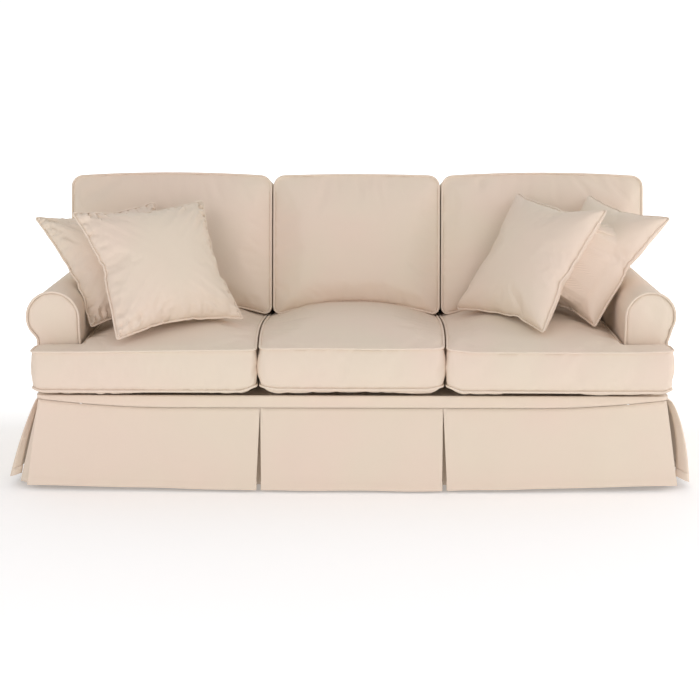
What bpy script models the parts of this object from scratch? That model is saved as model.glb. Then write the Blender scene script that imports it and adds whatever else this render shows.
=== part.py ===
"""A fitted slipcover set for a three-seat sofa with rolled arms, in metres.

X runs along the sofa, its front faces -Y and Z points up, with the origin on the floor under the middle.
The body cover is a set of thin sheets round an empty inside, where the sofa goes. On it lie three box
seat cushions, the outer two with an ear in front of an arm, three box back cushions, the outer two with
an ear over an arm, and four knife-edge pillows. Welts of the same cloth follow every cushion's seams.
"""

import math

import bmesh
import bpy
import numpy as np
from mathutils.geometry import delaunay_2d_cdt

GAP = 0.0003
CLOTH = 0.002
WELT = 0.0048  # half the height of a welt
WELT_OUT = 0.0080  # how far a welt stands out from its seam
CREASE = 0.00035  # how far a sheet's edge stays from the sheet that it meets

# Body cover
SIDE_X = 1.054
FRONT_Y = -0.455
BACK_Y = 0.440
DECK_Z = 0.3325
SEAM_Z = 0.284  # the skirt's seam at the middle of the front
SEAM_RISE = 0.024  # how much higher the seam is at a corner
CORNER_R = 0.020
HEM_Z = 0.008

# Rolled arms
ARM_IN_X = 0.915
ARM_FRONT_Y = -0.380
ROLL_R = {-1: 0.0865, 1: 0.0810}  # the left roll is a little fatter
ROLL_Z = {-1: 0.5750, 1: 0.5820}
ROLL_RISE = 0.012  # how much higher the roll is at the back than at the front
NECK_Z = 0.500

# Back
LEAN = math.radians(12)
BACK_TOP_Z = 0.900
BACK_SIDE_X = 1.040
BACK_TOP_R = 0.045

# Seat cushions
SEAT_FRONT_Y = -0.492
SEAT_BACK_Y = 0.200
SEAT_LOW_Z = 0.366
SEAT_HIGH_Z = 0.491
SEAT_MIDDLE_X = 0.2980
SEAT_SIDE_X = 0.3165
SEAT_ARM_X = 0.9000
SEAT_EAR_X = 1.0540
SEAT_EAR_Y = -0.404
SEAT_CORNER_R = 0.022

# Back cushions, with u along the sofa, v up the lean and w towards the front
REST_Y = 0.060
REST_Z = 0.515
REST_SHIFT = 0.012  # the row of back cushions sits a little to the right
REST_HIGH = 0.497
REST_THICK = 0.165
REST_MIDDLE_U = 0.2985
REST_SIDE_U = 0.3165
REST_ARM_U = 0.8920
REST_EAR_U = 1.0400
REST_EAR_V = 0.200
REST_CORNER_R = 0.036
REST_ARCH = 0.040  # how far the underside arches over the seat's crown
REST_CROWN = 0.044
REST_WEDGE = 0.033  # the underside is level, so its rear edge is higher up the lean

# Pillows: the four corners of each one's seam, from its top left corner clockwise as seen from the front
PILLOW_THICK = 0.160
PILLOW_CELLS = 10
PILLOW_CLEAR = 0.003  # how far a pillow's face stays from the arm that it leans on
PILLOW_RIM_CLEAR = 0.0125  # and its seam, with room for the welt
PILLOWS = (
    # name, top left, top right, bottom right, bottom left
    (
        "pillow_left_front",
        (-0.941, -0.270, 0.917),
        (-0.540, 0.000, 0.927),
        (-0.381, -0.220, 0.546),
        (-0.773, -0.460, 0.522),
    ),
    (
        "pillow_left_rear",
        (-1.105, -0.130, 0.881),
        (-0.717, 0.050, 0.916),
        (-0.550, -0.090, 0.570),
        (-0.890, -0.300, 0.530),
    ),
    (
        "pillow_right_front",
        (0.598, 0.075, 0.945),
        (0.857, -0.260, 0.923),
        (0.642, -0.380, 0.530),
        (0.376, -0.020, 0.545),
    ),
    (
        "pillow_right_rear",
        (0.853, 0.070, 0.940),
        (1.088, -0.170, 0.889),
        (0.834, -0.250, 0.530),
        (0.610, 0.000, 0.575),
    ),
)

TAN = (0.69, 0.60, 0.50, 1.0)


def clear_scene():
    for thing in list(bpy.data.objects):
        bpy.data.objects.remove(thing, do_unlink=True)


def cloth_material(name):
    made = bpy.data.materials.new(name)
    made.use_nodes = True
    shader = made.node_tree.nodes["Principled BSDF"]
    shader.inputs["Base Color"].default_value = TAN
    shader.inputs["Roughness"].default_value = 0.9
    shader.inputs["Metallic"].default_value = 0.0
    made.diffuse_color = TAN
    return made


def add(name, points, faces):
    """One named object with its own cloth material."""
    mesh = bpy.data.meshes.new(name)
    mesh.from_pydata([tuple(map(float, p)) for p in points], [], faces)
    mesh.shade_smooth()
    mesh.set_sharp_from_angle(angle=math.radians(40))
    mesh.materials.append(cloth_material(name))
    thing = bpy.data.objects.new(name, mesh)
    bpy.context.scene.collection.objects.link(thing)
    return thing


def thicken(thing):
    """Gives a sheet its thickness, behind the faces that it was drawn with."""
    solid = thing.modifiers.new("cloth", "SOLIDIFY")
    solid.thickness = CLOTH
    solid.offset = -1.0
    solid.use_even_offset = True
    return thing


# Outlines


def arc(cx, cy, radius, start, end, steps):
    angles = np.radians(np.linspace(start, end, steps + 1))
    return [(cx + radius * math.cos(a), cy + radius * math.sin(a)) for a in angles]


def rounded(corners, spacing, arc_steps=3):
    """An outline, counterclockwise, from rows of x, y, corner radius and the bow of the side after it."""
    count = len(corners)
    starts, ends, rounds = [], [], []
    for i in range(count):
        here = np.array(corners[i][:2])
        before = np.array(corners[i - 1][:2]) - here
        after = np.array(corners[(i + 1) % count][:2]) - here
        before, after = before / np.linalg.norm(before), after / np.linalg.norm(after)
        half = math.acos(np.clip(before @ after, -1, 1)) / 2
        reach = corners[i][2] / math.tan(half)
        first, last = here + before * reach, here + after * reach
        middle = here + (before + after) / np.linalg.norm(before + after) * corners[i][2] / math.sin(half)
        turns = []
        for k in range(arc_steps + 1):
            share = k / arc_steps
            spoke = (first - middle) * (1 - share) + (last - middle) * share
            turns.append(middle + spoke / np.linalg.norm(spoke) * corners[i][2])
        starts.append(first)
        ends.append(last)
        rounds.append(turns)
    points = []
    for i in range(count):
        points += rounds[i]
        begin, stop = ends[i], starts[(i + 1) % count]
        length = np.linalg.norm(stop - begin)
        steps = max(1, round(length / spacing))
        outward = np.array([(stop - begin)[1], -(stop - begin)[0]]) / length
        for k in range(1, steps):
            share = k / steps
            points.append(begin + (stop - begin) * share + outward * corners[i][3] * 4 * share * (1 - share))
    return np.array(points)


def outward_normals(outline):
    """At each point of a closed outline, the step that moves both its sides out by one."""
    ahead = np.roll(outline, -1, axis=0) - outline
    ahead /= np.linalg.norm(ahead, axis=1)[:, None]
    side = np.stack([ahead[:, 1], -ahead[:, 0]], axis=1)
    both = side + np.roll(side, 1, axis=0)
    return both / (both * side).sum(1)[:, None]


def fullness(points, outline):
    """How full a cushion is at each point: 0 on its seam and 1 where it is furthest from all of it.

    Along one straight side it is the distance to that side, and near several it is less.
    """
    total = np.zeros(len(points))
    for a, b in zip(outline, np.roll(outline, -1, axis=0)):
        along = (b - a) / np.linalg.norm(b - a)
        offset = points - a
        s0 = -(offset @ along)
        s1 = s0 + np.linalg.norm(b - a)
        h2 = np.maximum((offset**2).sum(1) - s0**2, 1e-9)
        total += (s1 / np.sqrt(h2 + s1**2) - s0 / np.sqrt(h2 + s0**2)) / h2
    return 1 / np.sqrt(np.maximum(total / 2, 1e-9))


def inside(points, outline):
    """Which points lie inside a closed outline."""
    odd = np.zeros(len(points), bool)
    for a, b in zip(outline, np.roll(outline, -1, axis=0)):
        cut = (a[1] > points[:, 1]) != (b[1] > points[:, 1])
        at = a[0] + (points[:, 1] - a[1]) / (b[1] - a[1] if b[1] != a[1] else 1) * (b[0] - a[0])
        odd ^= cut & (points[:, 0] < at)
    return odd


def filled(outline, spacing):
    """The outline's points with a grid of points inside it, and triangles between them all."""
    low, high = outline.min(0), outline.max(0)
    counts = np.maximum(2, np.round((high - low) / spacing)).astype(int)
    xs = np.linspace(low[0], high[0], counts[0] + 1)[1:-1]
    ys = np.linspace(low[1], high[1], counts[1] + 1)[1:-1]
    grid = np.array([(x, y) for y in ys for x in xs])
    grid = grid[inside(grid, outline)]
    grid = grid[fullness(grid, outline) > spacing * 0.42]
    points = np.vstack([outline, grid])
    ring = [(i, (i + 1) % len(outline)) for i in range(len(outline))]
    _, _, triangles, _, _, _ = delaunay_2d_cdt([tuple(p) for p in points], ring, [], 1, 1e-6)
    return points, [tuple(t) for t in triangles]


# Cushions


def box_cushion(name, outline, low, high, crown_low, crown_high, place, spacing, full=0.62):
    """A crowned box cushion: its two faces swell from their seams, and its side draws in between them."""
    drawn_in = 0.001
    points, triangles = filled(outline, spacing)
    rim, count = len(outline), len(points)
    swell = np.zeros(count)
    swell[rim:] = fullness(points[rim:], outline)
    swell = (swell / swell.max()) ** full
    under = np.column_stack([points, low - crown_low * swell])
    over = np.column_stack([points, high + crown_high * swell])
    waist = np.column_stack([outline - outward_normals(outline) * drawn_in, np.full(rim, (low + high) / 2)])
    faces = [tuple(reversed(t)) for t in triangles]
    faces += [tuple(i + count for i in t) for t in triangles]
    for i in range(rim):
        j = (i + 1) % rim
        faces.append((i, j, 2 * count + j, 2 * count + i))
        faces.append((2 * count + i, 2 * count + j, count + j, count + i))
    return add(name, place(np.vstack([under, over, waist])), faces)


def ring_welt(name, outline, level, place):
    """A welt all round a cushion's seam, just outside it."""
    out = outward_normals(outline)
    count = len(outline)
    parts = (
        np.column_stack([outline + out * GAP, np.full(count, level - WELT)]),
        np.column_stack([outline + out * WELT_OUT, np.full(count, level)]),
        np.column_stack([outline + out * GAP, np.full(count, level + WELT)]),
    )
    faces = []
    for i in range(count):
        j = (i + 1) % count
        for a, b in ((0, 1), (1, 2), (2, 0)):
            faces.append((a * count + i, a * count + j, b * count + j, b * count + i))
    return add(name, place(np.vstack(parts)), faces)


def seat_outline(side, spacing=0.1):
    """side is 0 for the middle cushion, and -1 or 1 for the T-shaped ones."""
    r = SEAT_CORNER_R
    if side == 0:
        x = SEAT_MIDDLE_X
        rows = (
            (-x, SEAT_FRONT_Y, r, 0.002),
            (x, SEAT_FRONT_Y, r, 0.0),
            (x, SEAT_BACK_Y, r, 0.0),
            (-x, SEAT_BACK_Y, r, 0.0),
        )
        return rounded(rows, spacing)
    rows = (
        (SEAT_SIDE_X, SEAT_FRONT_Y, r, 0.002),
        (SEAT_EAR_X, SEAT_FRONT_Y, r, 0.0),
        (SEAT_EAR_X, SEAT_EAR_Y, r, 0.0),
        (SEAT_ARM_X, SEAT_EAR_Y, 0.008, 0.0),
        (SEAT_ARM_X, SEAT_BACK_Y, r, 0.0),
        (SEAT_SIDE_X, SEAT_BACK_Y, r, 0.0),
    )
    made = rounded(rows, spacing)
    return made if side > 0 else made[::-1] * (-1, 1)


def rest_outline(side, spacing=0.1):
    """The front seam of a back cushion, with its underside arched over the seat."""
    r, low_r = REST_CORNER_R, 0.020
    if side == 0:
        u = REST_MIDDLE_U
        rows = (
            (-u, 0.0, low_r, -REST_ARCH),
            (u, 0.0, low_r, 0.0),
            (u, REST_HIGH, r, 0.004),
            (-u, REST_HIGH, r, 0.0),
        )
        return rounded(rows, spacing)
    rows = (
        (REST_SIDE_U, 0.0, low_r, -REST_ARCH),
        (REST_ARM_U, 0.0, low_r, 0.0),
        (REST_ARM_U, REST_EAR_V, 0.008, 0.0),
        (REST_EAR_U, REST_EAR_V, r, 0.0),
        (REST_EAR_U, REST_HIGH, r, 0.010),
        (REST_SIDE_U, REST_HIGH, r, 0.0),
    )
    made = rounded(rows, spacing)
    return made if side > 0 else made[::-1] * (-1, 1)


def place_rest(points):
    """From u, v, w to the leaning back cushions' place in the sofa."""
    u, v, w = points.T
    v = v + REST_WEDGE * (-w / REST_THICK) * (1 - v / REST_HIGH)
    y = REST_Y + v * math.sin(LEAN) - w * math.cos(LEAN)
    z = REST_Z + v * math.cos(LEAN) + w * math.sin(LEAN)
    return np.stack([u + REST_SHIFT, y, z], axis=1)


def level_place(points):
    return points


SIDES = ((-1, "left"), (0, "middle"), (1, "right"))


def seat_cushions():
    for side, word in SIDES:
        outline = seat_outline(side)
        crown = 0.062 if side == 0 else 0.054
        box_cushion(
            f"seat_cushion_{word}", outline, SEAT_LOW_Z, SEAT_HIGH_Z, 0.030, crown, level_place, 0.1, 0.95
        )
        ring_welt(f"seat_welt_low_{word}", outline, SEAT_LOW_Z, level_place)
        ring_welt(f"seat_welt_high_{word}", outline, SEAT_HIGH_Z, level_place)


def back_cushions():
    for side, word in SIDES:
        outline = rest_outline(side)
        box_cushion(
            f"back_cushion_{word}", outline, -REST_THICK, 0.0, 0.010, REST_CROWN, place_rest, 0.1
        )
        ring_welt(f"back_welt_rear_{word}", outline, -REST_THICK, place_rest)
        ring_welt(f"back_welt_front_{word}", outline, 0.0, place_rest)


def clear_of_arm(point, clear):
    """A point of a pillow that leans on an arm, pressed back to the arm's surface and a little more."""
    x, y, z = point
    side = -1 if x < 0 else 1
    middle_x, middle_z = ARM_IN_X + ROLL_R[side], ROLL_Z[side] + ROLL_RISE
    away = np.array([abs(x) - middle_x, z - middle_z])
    far = np.linalg.norm(away)
    if abs(x) < ARM_IN_X - clear:
        return point
    if z <= middle_z:
        return np.array([side * (ARM_IN_X - clear), y, z])
    if far < ROLL_R[side] + clear:
        away *= (ROLL_R[side] + clear) / far
    return np.array([side * (middle_x + away[0]), y, middle_z + away[1]])


def pillow_patch(corners, s, t):
    """A point of the pillow's middle sheet, and the way its front faces, for s and t from -1 to 1."""
    drawn_in = 0.085
    a, b, c, d = (np.array(p) for p in corners)
    s, t = s * (1 - drawn_in * (1 - t * t)), t * (1 - drawn_in * (1 - s * s))
    right, up = (1 + s) / 2, (1 + t) / 2
    point = (a * (1 - right) + b * right) * up + (d * (1 - right) + c * right) * (1 - up)
    across = (b - a) * up + (c - d) * (1 - up)
    rise = (a - d) * (1 - right) + (b - c) * right
    front = np.cross(across, rise)
    return clear_of_arm(point, PILLOW_RIM_CLEAR), front / np.linalg.norm(front)


def pillow(name, corners):
    """A knife-edge pillow, full in the middle and flat at its corners."""
    n = PILLOW_CELLS
    steps = [math.sin(math.pi / 2 * (2 * k / n - 1)) for k in range(n + 1)]
    front, rear, index = [], [], {}
    for i, s in enumerate(steps):
        for j, t in enumerate(steps):
            point, ahead = pillow_patch(corners, s, t)
            swell = PILLOW_THICK / 2 * ((1 - s * s) * (1 - t * t)) ** 0.52
            index[i, j] = len(front)
            front.append(clear_of_arm(point + ahead * swell, PILLOW_CLEAR))
            rear.append(clear_of_arm(point - ahead * swell, PILLOW_CLEAR))
    count = len(front)
    on_rim = {k for (i, j), k in index.items() if i in (0, n) or j in (0, n)}
    back_of = {k: k if k in on_rim else k + count for k in range(count)}
    faces = []
    for i in range(n):
        for j in range(n):
            a, b, c, d = index[i, j], index[i + 1, j], index[i + 1, j + 1], index[i, j + 1]
            towards_middle = (i < n / 2) == (j < n / 2)
            for face in ((a, b, c), (a, c, d)) if towards_middle else ((a, b, d), (b, c, d)):
                faces.append(face)
                faces.append(tuple(back_of[k] for k in reversed(face)))
    made = add(name, np.vstack([front, rear]), faces)
    shape = bmesh.new()
    shape.from_mesh(made.data)
    bmesh.ops.delete(shape, geom=[v for v in shape.verts if not v.link_faces], context="VERTS")
    shape.to_mesh(made.data)
    shape.free()
    return made


def pillow_welt(name, corners):
    n = PILLOW_CELLS
    steps = [math.sin(math.pi / 2 * (2 * k / n - 1)) for k in range(n + 1)]
    round_it = [(s, -1.0) for s in steps[:-1]] + [(1.0, t) for t in steps[:-1]]
    round_it += [(s, 1.0) for s in reversed(steps[1:])] + [(-1.0, t) for t in reversed(steps[1:])]
    seam = [pillow_patch(corners, s, t) for s, t in round_it]
    points = np.array([p for p, _ in seam])
    ahead = np.array([f for _, f in seam])
    along = np.roll(points, -1, axis=0) - points
    along /= np.linalg.norm(along, axis=1)[:, None]
    side = np.cross(along, ahead)
    side /= np.linalg.norm(side, axis=1)[:, None]
    both = side + np.roll(side, 1, axis=0)
    out = both / np.maximum((both * side).sum(1), 0.6)[:, None]
    parts = (points + out * GAP - ahead * WELT, points + out * WELT_OUT, points + out * GAP + ahead * WELT)
    count = len(points)
    faces = []
    for i in range(count):
        j = (i + 1) % count
        for a, b in ((0, 1), (1, 2), (2, 0)):
            faces.append((a * count + i, a * count + j, b * count + j, b * count + i))
    return add(name, np.vstack(parts), faces)


def pillows():
    for name, *corners in PILLOWS:
        pillow(name, corners)
        pillow_welt(name.replace("pillow", "pillow_welt"), corners)


# Body cover


def seam_z(x):
    """The skirt's seam rises towards the corners."""
    return SEAM_Z + SEAM_RISE * (min(abs(x), SIDE_X) / SIDE_X) ** 8


def grid_sheet(name, rows):
    """A sheet through rows of points, thickened behind the side from which they run left to right."""
    columns = len(rows[0])
    points = [p for row in rows for p in row]
    faces = []
    for i in range(len(rows) - 1):
        for j in range(columns - 1):
            a = i * columns + j
            faces.append((a, a + columns, a + columns + 1, a + 1))
    return thicken(add(name, points, faces))


def flat_sheet(name, points):
    """A flat sheet inside one outline, thickened behind the side from which it runs counterclockwise."""
    return thicken(add(name, points, [tuple(range(len(points)))]))


def roll_arc(side, rise, start, end, steps):
    return arc(ARM_IN_X + ROLL_R[side], ROLL_Z[side] + rise, ROLL_R[side], start, end, steps)


def arm_path(side, rise, inner_z):
    """The arm's section as x and z, from low on its inner side over the roll to its neck."""
    path = [(ARM_IN_X, inner_z)] + roll_arc(side, rise, 180, -28, 14)
    return path + [(SIDE_X + 0.004, NECK_Z + 0.010), (SIDE_X, NECK_Z)]


def rest_plane_y(z):
    """Where the inside back's front is at a height."""
    ahead = REST_THICK + 0.015
    y0 = REST_Y + ahead * math.cos(LEAN)
    z0 = REST_Z - ahead * math.sin(LEAN)
    return y0 + (z - z0) * math.tan(LEAN)


def over_roll(side, x):
    """How high the roll is at its rear end, at a distance from the sofa's middle."""
    radius = ROLL_R[side]
    return ROLL_Z[side] + ROLL_RISE + math.sqrt(radius**2 - (x - ARM_IN_X - radius) ** 2)


def arms():
    rear_y = BACK_Y - CLOTH - CREASE
    low = DECK_Z + CREASE
    for side, word in ((-1, "left"), (1, "right")):
        stations = ((ARM_FRONT_Y + CREASE, 0.0), (0.0, ROLL_RISE / 2), (rear_y, ROLL_RISE))
        rows = [[(side * x, y, z) for x, z in arm_path(side, rise, low)] for y, rise in stations]
        if side > 0:
            rows = rows[::-1]
        grid_sheet(f"arm_inside_{word}", rows)
        top, bottom = NECK_Z - CREASE, seam_z(SIDE_X) + CREASE
        outer = [
            (side * SIDE_X, ARM_FRONT_Y + CREASE, top),
            (side * SIDE_X, ARM_FRONT_Y + CREASE, bottom),
            (side * SIDE_X, rear_y, bottom),
            (side * SIDE_X, rear_y, top),
        ]
        flat_sheet(f"arm_outside_{word}", outer if side > 0 else outer[::-1])
        face = [(side * x, ARM_FRONT_Y - CLOTH, z) for x, z in arm_path(side, 0.0, low)]
        face.append((side * SIDE_X, ARM_FRONT_Y - CLOTH, low))
        flat_sheet(f"arm_front_{word}", face[::-1] if side > 0 else face)
        arm_welt(side, word, low)


def arm_welt(side, word, low):
    """The welt on the edge of an arm's front, from the deck over the roll and down to the deck again."""
    path = np.array(arm_path(side, 0.0, low + CREASE) + [(SIDE_X, low + CREASE)])
    along = np.gradient(path, axis=0)
    along /= np.linalg.norm(along, axis=1)[:, None]
    out = np.stack([-along[:, 1], along[:, 0]], axis=1)
    y = ARM_FRONT_Y - CLOTH - CREASE - WELT
    section = ((-WELT, 0.0), (0.0, -WELT), (WELT, 0.0), (0.0, WELT))
    rows = []
    for (x, z), (ox, oz) in zip(path, out):
        rows.append([(side * (x + ox * a), y + b, z + oz * a) for a, b in section])
    count = len(section)
    points = [p for row in rows for p in row]
    faces = [tuple(range(count)), tuple((len(rows) - 1) * count + k for k in reversed(range(count)))]
    for i in range(len(rows) - 1):
        for k in range(count):
            m = (k + 1) % count
            faces.append((i * count + k, (i + 1) * count + k, (i + 1) * count + m, i * count + m))
    if side < 0:
        faces = [f[::-1] for f in faces]
    add(f"arm_welt_{word}", points, faces)


def deck():
    """The platform under the seat cushions, with an ear in front of each arm."""
    inner = CLOTH + CREASE
    x_ear, x_main = SIDE_X - inner, ARM_IN_X - CREASE
    y_front, y_ear, y_rear = FRONT_Y + inner, ARM_FRONT_Y - CLOTH, rest_plane_y(DECK_Z) - inner
    half = arc(x_ear - CORNER_R + inner, y_front + CORNER_R - inner, CORNER_R - inner, -90, 0, 4)
    half += [(x_ear, y_ear), (x_main, y_ear), (x_main, y_rear)]
    flat_sheet("deck", [(x, y, DECK_Z) for x, y in half + [(-x, y) for x, y in half[::-1]]])


def front_border():
    """The band between the deck and the skirt, with a return round each ear of the deck."""
    corner = arc(SIDE_X - CORNER_R, FRONT_Y + CORNER_R, CORNER_R, -90, 0, 4)
    end = (SIDE_X, ARM_FRONT_Y - CREASE)
    half = [(x, FRONT_Y) for x in (0.0, 0.3, 0.6, 0.85, 0.95)] + corner + [end]
    plan = [(-x, y) for x, y in half[:0:-1]] + half
    top = [(x, y, DECK_Z) for x, y in plan]
    bottom = [(x, y, seam_z(x) + CREASE) for x, y in plan]
    grid_sheet("front_border", [top, bottom])


def back():
    low = DECK_Z + CREASE
    wide, narrow = BACK_SIDE_X - CLOTH - CREASE, ARM_IN_X - CREASE
    above = max(ROLL_Z[side] + ROLL_R[side] for side in (-1, 1)) + ROLL_RISE + 0.003
    centre_x, centre_z = BACK_SIDE_X - BACK_TOP_R, BACK_TOP_Z - BACK_TOP_R
    half = [(narrow, low), (narrow, above), (wide, above)]
    half += arc(centre_x, centre_z, wide - centre_x, 0, 90, 5)
    front = [(x, rest_plane_y(z), z) for x, z in half + [(-x, z) for x, z in half[::-1]]]
    flat_sheet("inside_back", front)

    corner = arc(centre_x, centre_z, BACK_TOP_R, 90, 0, 5)
    ends = {side: (BACK_SIDE_X, over_roll(side, BACK_SIDE_X - CLOTH) + 0.003) for side in (-1, 1)}
    strip = [(-x, z) for x, z in [ends[-1]] + corner[::-1]] + corner + [ends[1]]
    rear_y = BACK_Y - CLOTH - CREASE
    near = [(x, rest_plane_y(z), z) for x, z in strip]
    far = [(x, rear_y, z) for x, z in strip]
    grid_sheet("back_boxing", [far, near])

    outline = []
    for side in (-1, 1):
        half = [(x, seam_z(x) + CREASE) for x in (0.0, 0.6, SIDE_X)]
        half += [(SIDE_X, NECK_Z), (SIDE_X + 0.004, NECK_Z + 0.010)]
        half += roll_arc(side, ROLL_RISE, -28, 55, 7) + corner[::-1]
        half = [(side * x, BACK_Y, z) for x, z in half]
        outline = half[::-1] + outline if side > 0 else half + outline
    outline = outline[:-1]
    flat_sheet("outside_back", outline)


# Skirt

# Each row is one hanging panel of the skirt: the plan of its two top corners and its two hem corners,
# as seen from outside, with the height of its hem at each end.
SKIRT_PANELS = (
    # name, top left, top right, hem left, hem right, hem z left, hem z right
    ("skirt_front_left", (-1.046, -0.456), (-0.3055, -0.456), (-1.094, -0.468), (-0.320, -0.492), 0.018, HEM_Z),
    ("skirt_front_middle", (-0.3045, -0.456), (0.3045, -0.456), (-0.303, -0.492), (0.303, -0.492), HEM_Z, HEM_Z),
    ("skirt_front_right", (0.3055, -0.456), (1.046, -0.456), (0.320, -0.492), (1.092, -0.468), HEM_Z, 0.022),
    ("skirt_side_left", (-1.055, 0.425), (-1.055, -0.425), (-1.110, 0.440), (-1.165, -0.425), 0.012, 0.034),
    ("skirt_side_right", (1.055, -0.425), (1.055, 0.425), (1.142, -0.435), (1.110, 0.440), 0.024, 0.012),
    ("skirt_back", (1.046, 0.441), (-1.046, 0.441), (1.080, 0.478), (-1.080, 0.478), 0.012, 0.012),
)


def skirt_panel(name, top_left, top_right, hem_left, hem_right, low_left, low_right):
    """A panel that hangs from the seam and flares to its hem, with a slight belly below the seam."""
    columns, rows = 8, 3
    belly = 0.004
    grid = []
    a, b, c, d = (np.array(p) for p in (top_left, top_right, hem_left, hem_right))
    along = (b - a) / np.linalg.norm(b - a)
    outward = np.array([along[1], -along[0]])
    for i in range(rows + 1):
        down = i / rows
        row = []
        for j in range(columns):
            across = j / (columns - 1)
            top, hem = a + (b - a) * across, c + (d - c) * across
            high = seam_z(top[0]) - CREASE
            low = low_left + (low_right - low_left) * across
            plan = top + (hem - top) * down + outward * belly * math.sin(math.pi * down)
            row.append((plan[0], plan[1], high + (low - high) * down))
        grid.append(row)
    return grid_sheet(name, grid)


# Each row is a strip behind a split of the skirt: points of its plan at the seam and at the hem, from
# left to right as seen from outside, with its hem's height.
UNDERLAYS = (
    ("underlay_front_left", ((-0.37, -0.446), (-0.24, -0.446)), ((-0.39, -0.448), (-0.24, -0.448)), 0.012),
    ("underlay_front_right", ((0.24, -0.446), (0.37, -0.446)), ((0.24, -0.448), (0.39, -0.448)), 0.012),
    (
        "underlay_corner_front_left",
        ((-1.048, -0.370), (-1.048, -0.440), (-1.035, -0.450), (-0.960, -0.450)),
        ((-1.130, -0.350), (-1.128, -0.425), (-1.100, -0.447), (-1.000, -0.455)),
        0.020,
    ),
    (
        "underlay_corner_front_right",
        ((0.960, -0.450), (1.035, -0.450), (1.048, -0.440), (1.048, -0.370)),
        ((0.990, -0.455), (1.070, -0.450), (1.086, -0.435), (1.095, -0.350)),
        0.020,
    ),
    (
        "underlay_corner_rear_right",
        ((1.048, 0.370), (1.048, 0.425), (1.035, 0.434), (0.960, 0.434)),
        ((1.085, 0.360), (1.085, 0.440), (1.070, 0.455), (0.960, 0.460)),
        0.016,
    ),
    (
        "underlay_corner_rear_left",
        ((-0.960, 0.434), (-1.035, 0.434), (-1.048, 0.425), (-1.048, 0.370)),
        ((-0.960, 0.460), (-1.070, 0.455), (-1.085, 0.440), (-1.085, 0.360)),
        0.016,
    ),
)


def underlay(name, top, hem, low):
    """A strip of the same cloth that shows in a split of the skirt."""
    rows = 3
    grid = []
    for i in range(rows + 1):
        down = i / rows
        row = []
        for t, h in zip(top, hem):
            t, h = np.array(t), np.array(h)
            high = seam_z(t[0]) - 0.004
            plan = t + (h - t) * down
            row.append((plan[0], plan[1], high + (low - high) * down))
        grid.append(row)
    return grid_sheet(name, grid)


def skirt():
    for row in SKIRT_PANELS:
        skirt_panel(*row)
    for row in UNDERLAYS:
        underlay(*row)


def main():
    clear_scene()
    deck()
    front_border()
    back()
    arms()
    skirt()
    seat_cushions()
    back_cushions()
    pillows()


main()
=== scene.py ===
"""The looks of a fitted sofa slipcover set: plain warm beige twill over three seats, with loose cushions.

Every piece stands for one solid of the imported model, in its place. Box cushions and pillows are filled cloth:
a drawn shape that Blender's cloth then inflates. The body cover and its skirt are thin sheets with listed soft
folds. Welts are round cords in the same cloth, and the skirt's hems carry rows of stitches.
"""

import math

import bpy
import numpy as np
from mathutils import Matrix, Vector
from mathutils.bvhtree import BVHTree
from mathutils.geometry import delaunay_2d_cdt


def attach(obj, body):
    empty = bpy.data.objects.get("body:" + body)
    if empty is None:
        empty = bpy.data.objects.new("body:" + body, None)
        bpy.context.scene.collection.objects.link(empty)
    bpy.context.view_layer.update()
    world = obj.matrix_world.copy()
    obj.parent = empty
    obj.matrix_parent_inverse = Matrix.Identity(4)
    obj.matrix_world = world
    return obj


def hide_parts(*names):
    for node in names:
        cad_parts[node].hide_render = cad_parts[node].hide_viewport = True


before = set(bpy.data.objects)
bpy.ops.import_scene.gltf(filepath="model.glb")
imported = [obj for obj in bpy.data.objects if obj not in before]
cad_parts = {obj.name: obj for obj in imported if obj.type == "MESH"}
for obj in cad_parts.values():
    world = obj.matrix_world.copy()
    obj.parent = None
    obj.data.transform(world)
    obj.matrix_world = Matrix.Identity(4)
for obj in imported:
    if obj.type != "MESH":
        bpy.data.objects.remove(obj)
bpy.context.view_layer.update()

# Cloth and trim
CLOTH = 0.0016
WELT_R = 0.0040
WELT_SET = 0.0030  # from a seam to the middle of its welt
PILLOW_WELT_R = 0.0037
WELT_STEP = 0.006  # between the points of its path
STITCH = 0.0032
STITCH_STEP = 0.0046
CREASE = 0.001  # between two sheets of the cover
SEAM_GAP = 0.0008  # between two sheets where one hangs from the other

# Body cover, as in the model
SIDE_X = 1.054
FRONT_Y = -0.455
BACK_Y = 0.440
DECK_Z = 0.3325
DECK_SAG = 0.013  # below its front edge
LIP_DROP = 0.006  # of that front edge below the deck
SEAM_Z = 0.284
SEAM_RISE = 0.030
SEAM_LEVEL_X = 0.62  # out to here the skirt's seam is level
CORNER_R = 0.020
HEM_Z = 0.008
LOW_Z = DECK_Z + CREASE  # of the arms and the back, which stand on the deck

# Rolled arms
ARM_IN_X = 0.915
ARM_FRONT_Y = -0.380
ROLL_R = {-1: 0.0865, 1: 0.0810}
ROLL_Z = {-1: 0.5750, 1: 0.5820}
ROLL_RISE = 0.012
ROLL_CLEAR = 0.003  # between a roll and the cloth that passes over it
NECK_Z = 0.500
NECK_TURN = -28  # the angle at which the roll ends in its neck
NECK_OUT = 0.004
NECK_HIGH = 0.010
ARM_REAR_Y = BACK_Y - 0.0025

# Back
LEAN = math.radians(12)
BACK_TOP_Z = 0.900
BACK_SIDE_X = 1.040
BACK_TOP_R = 0.045
TOP_CENTRE = (BACK_SIDE_X - BACK_TOP_R, BACK_TOP_Z - BACK_TOP_R)

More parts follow.
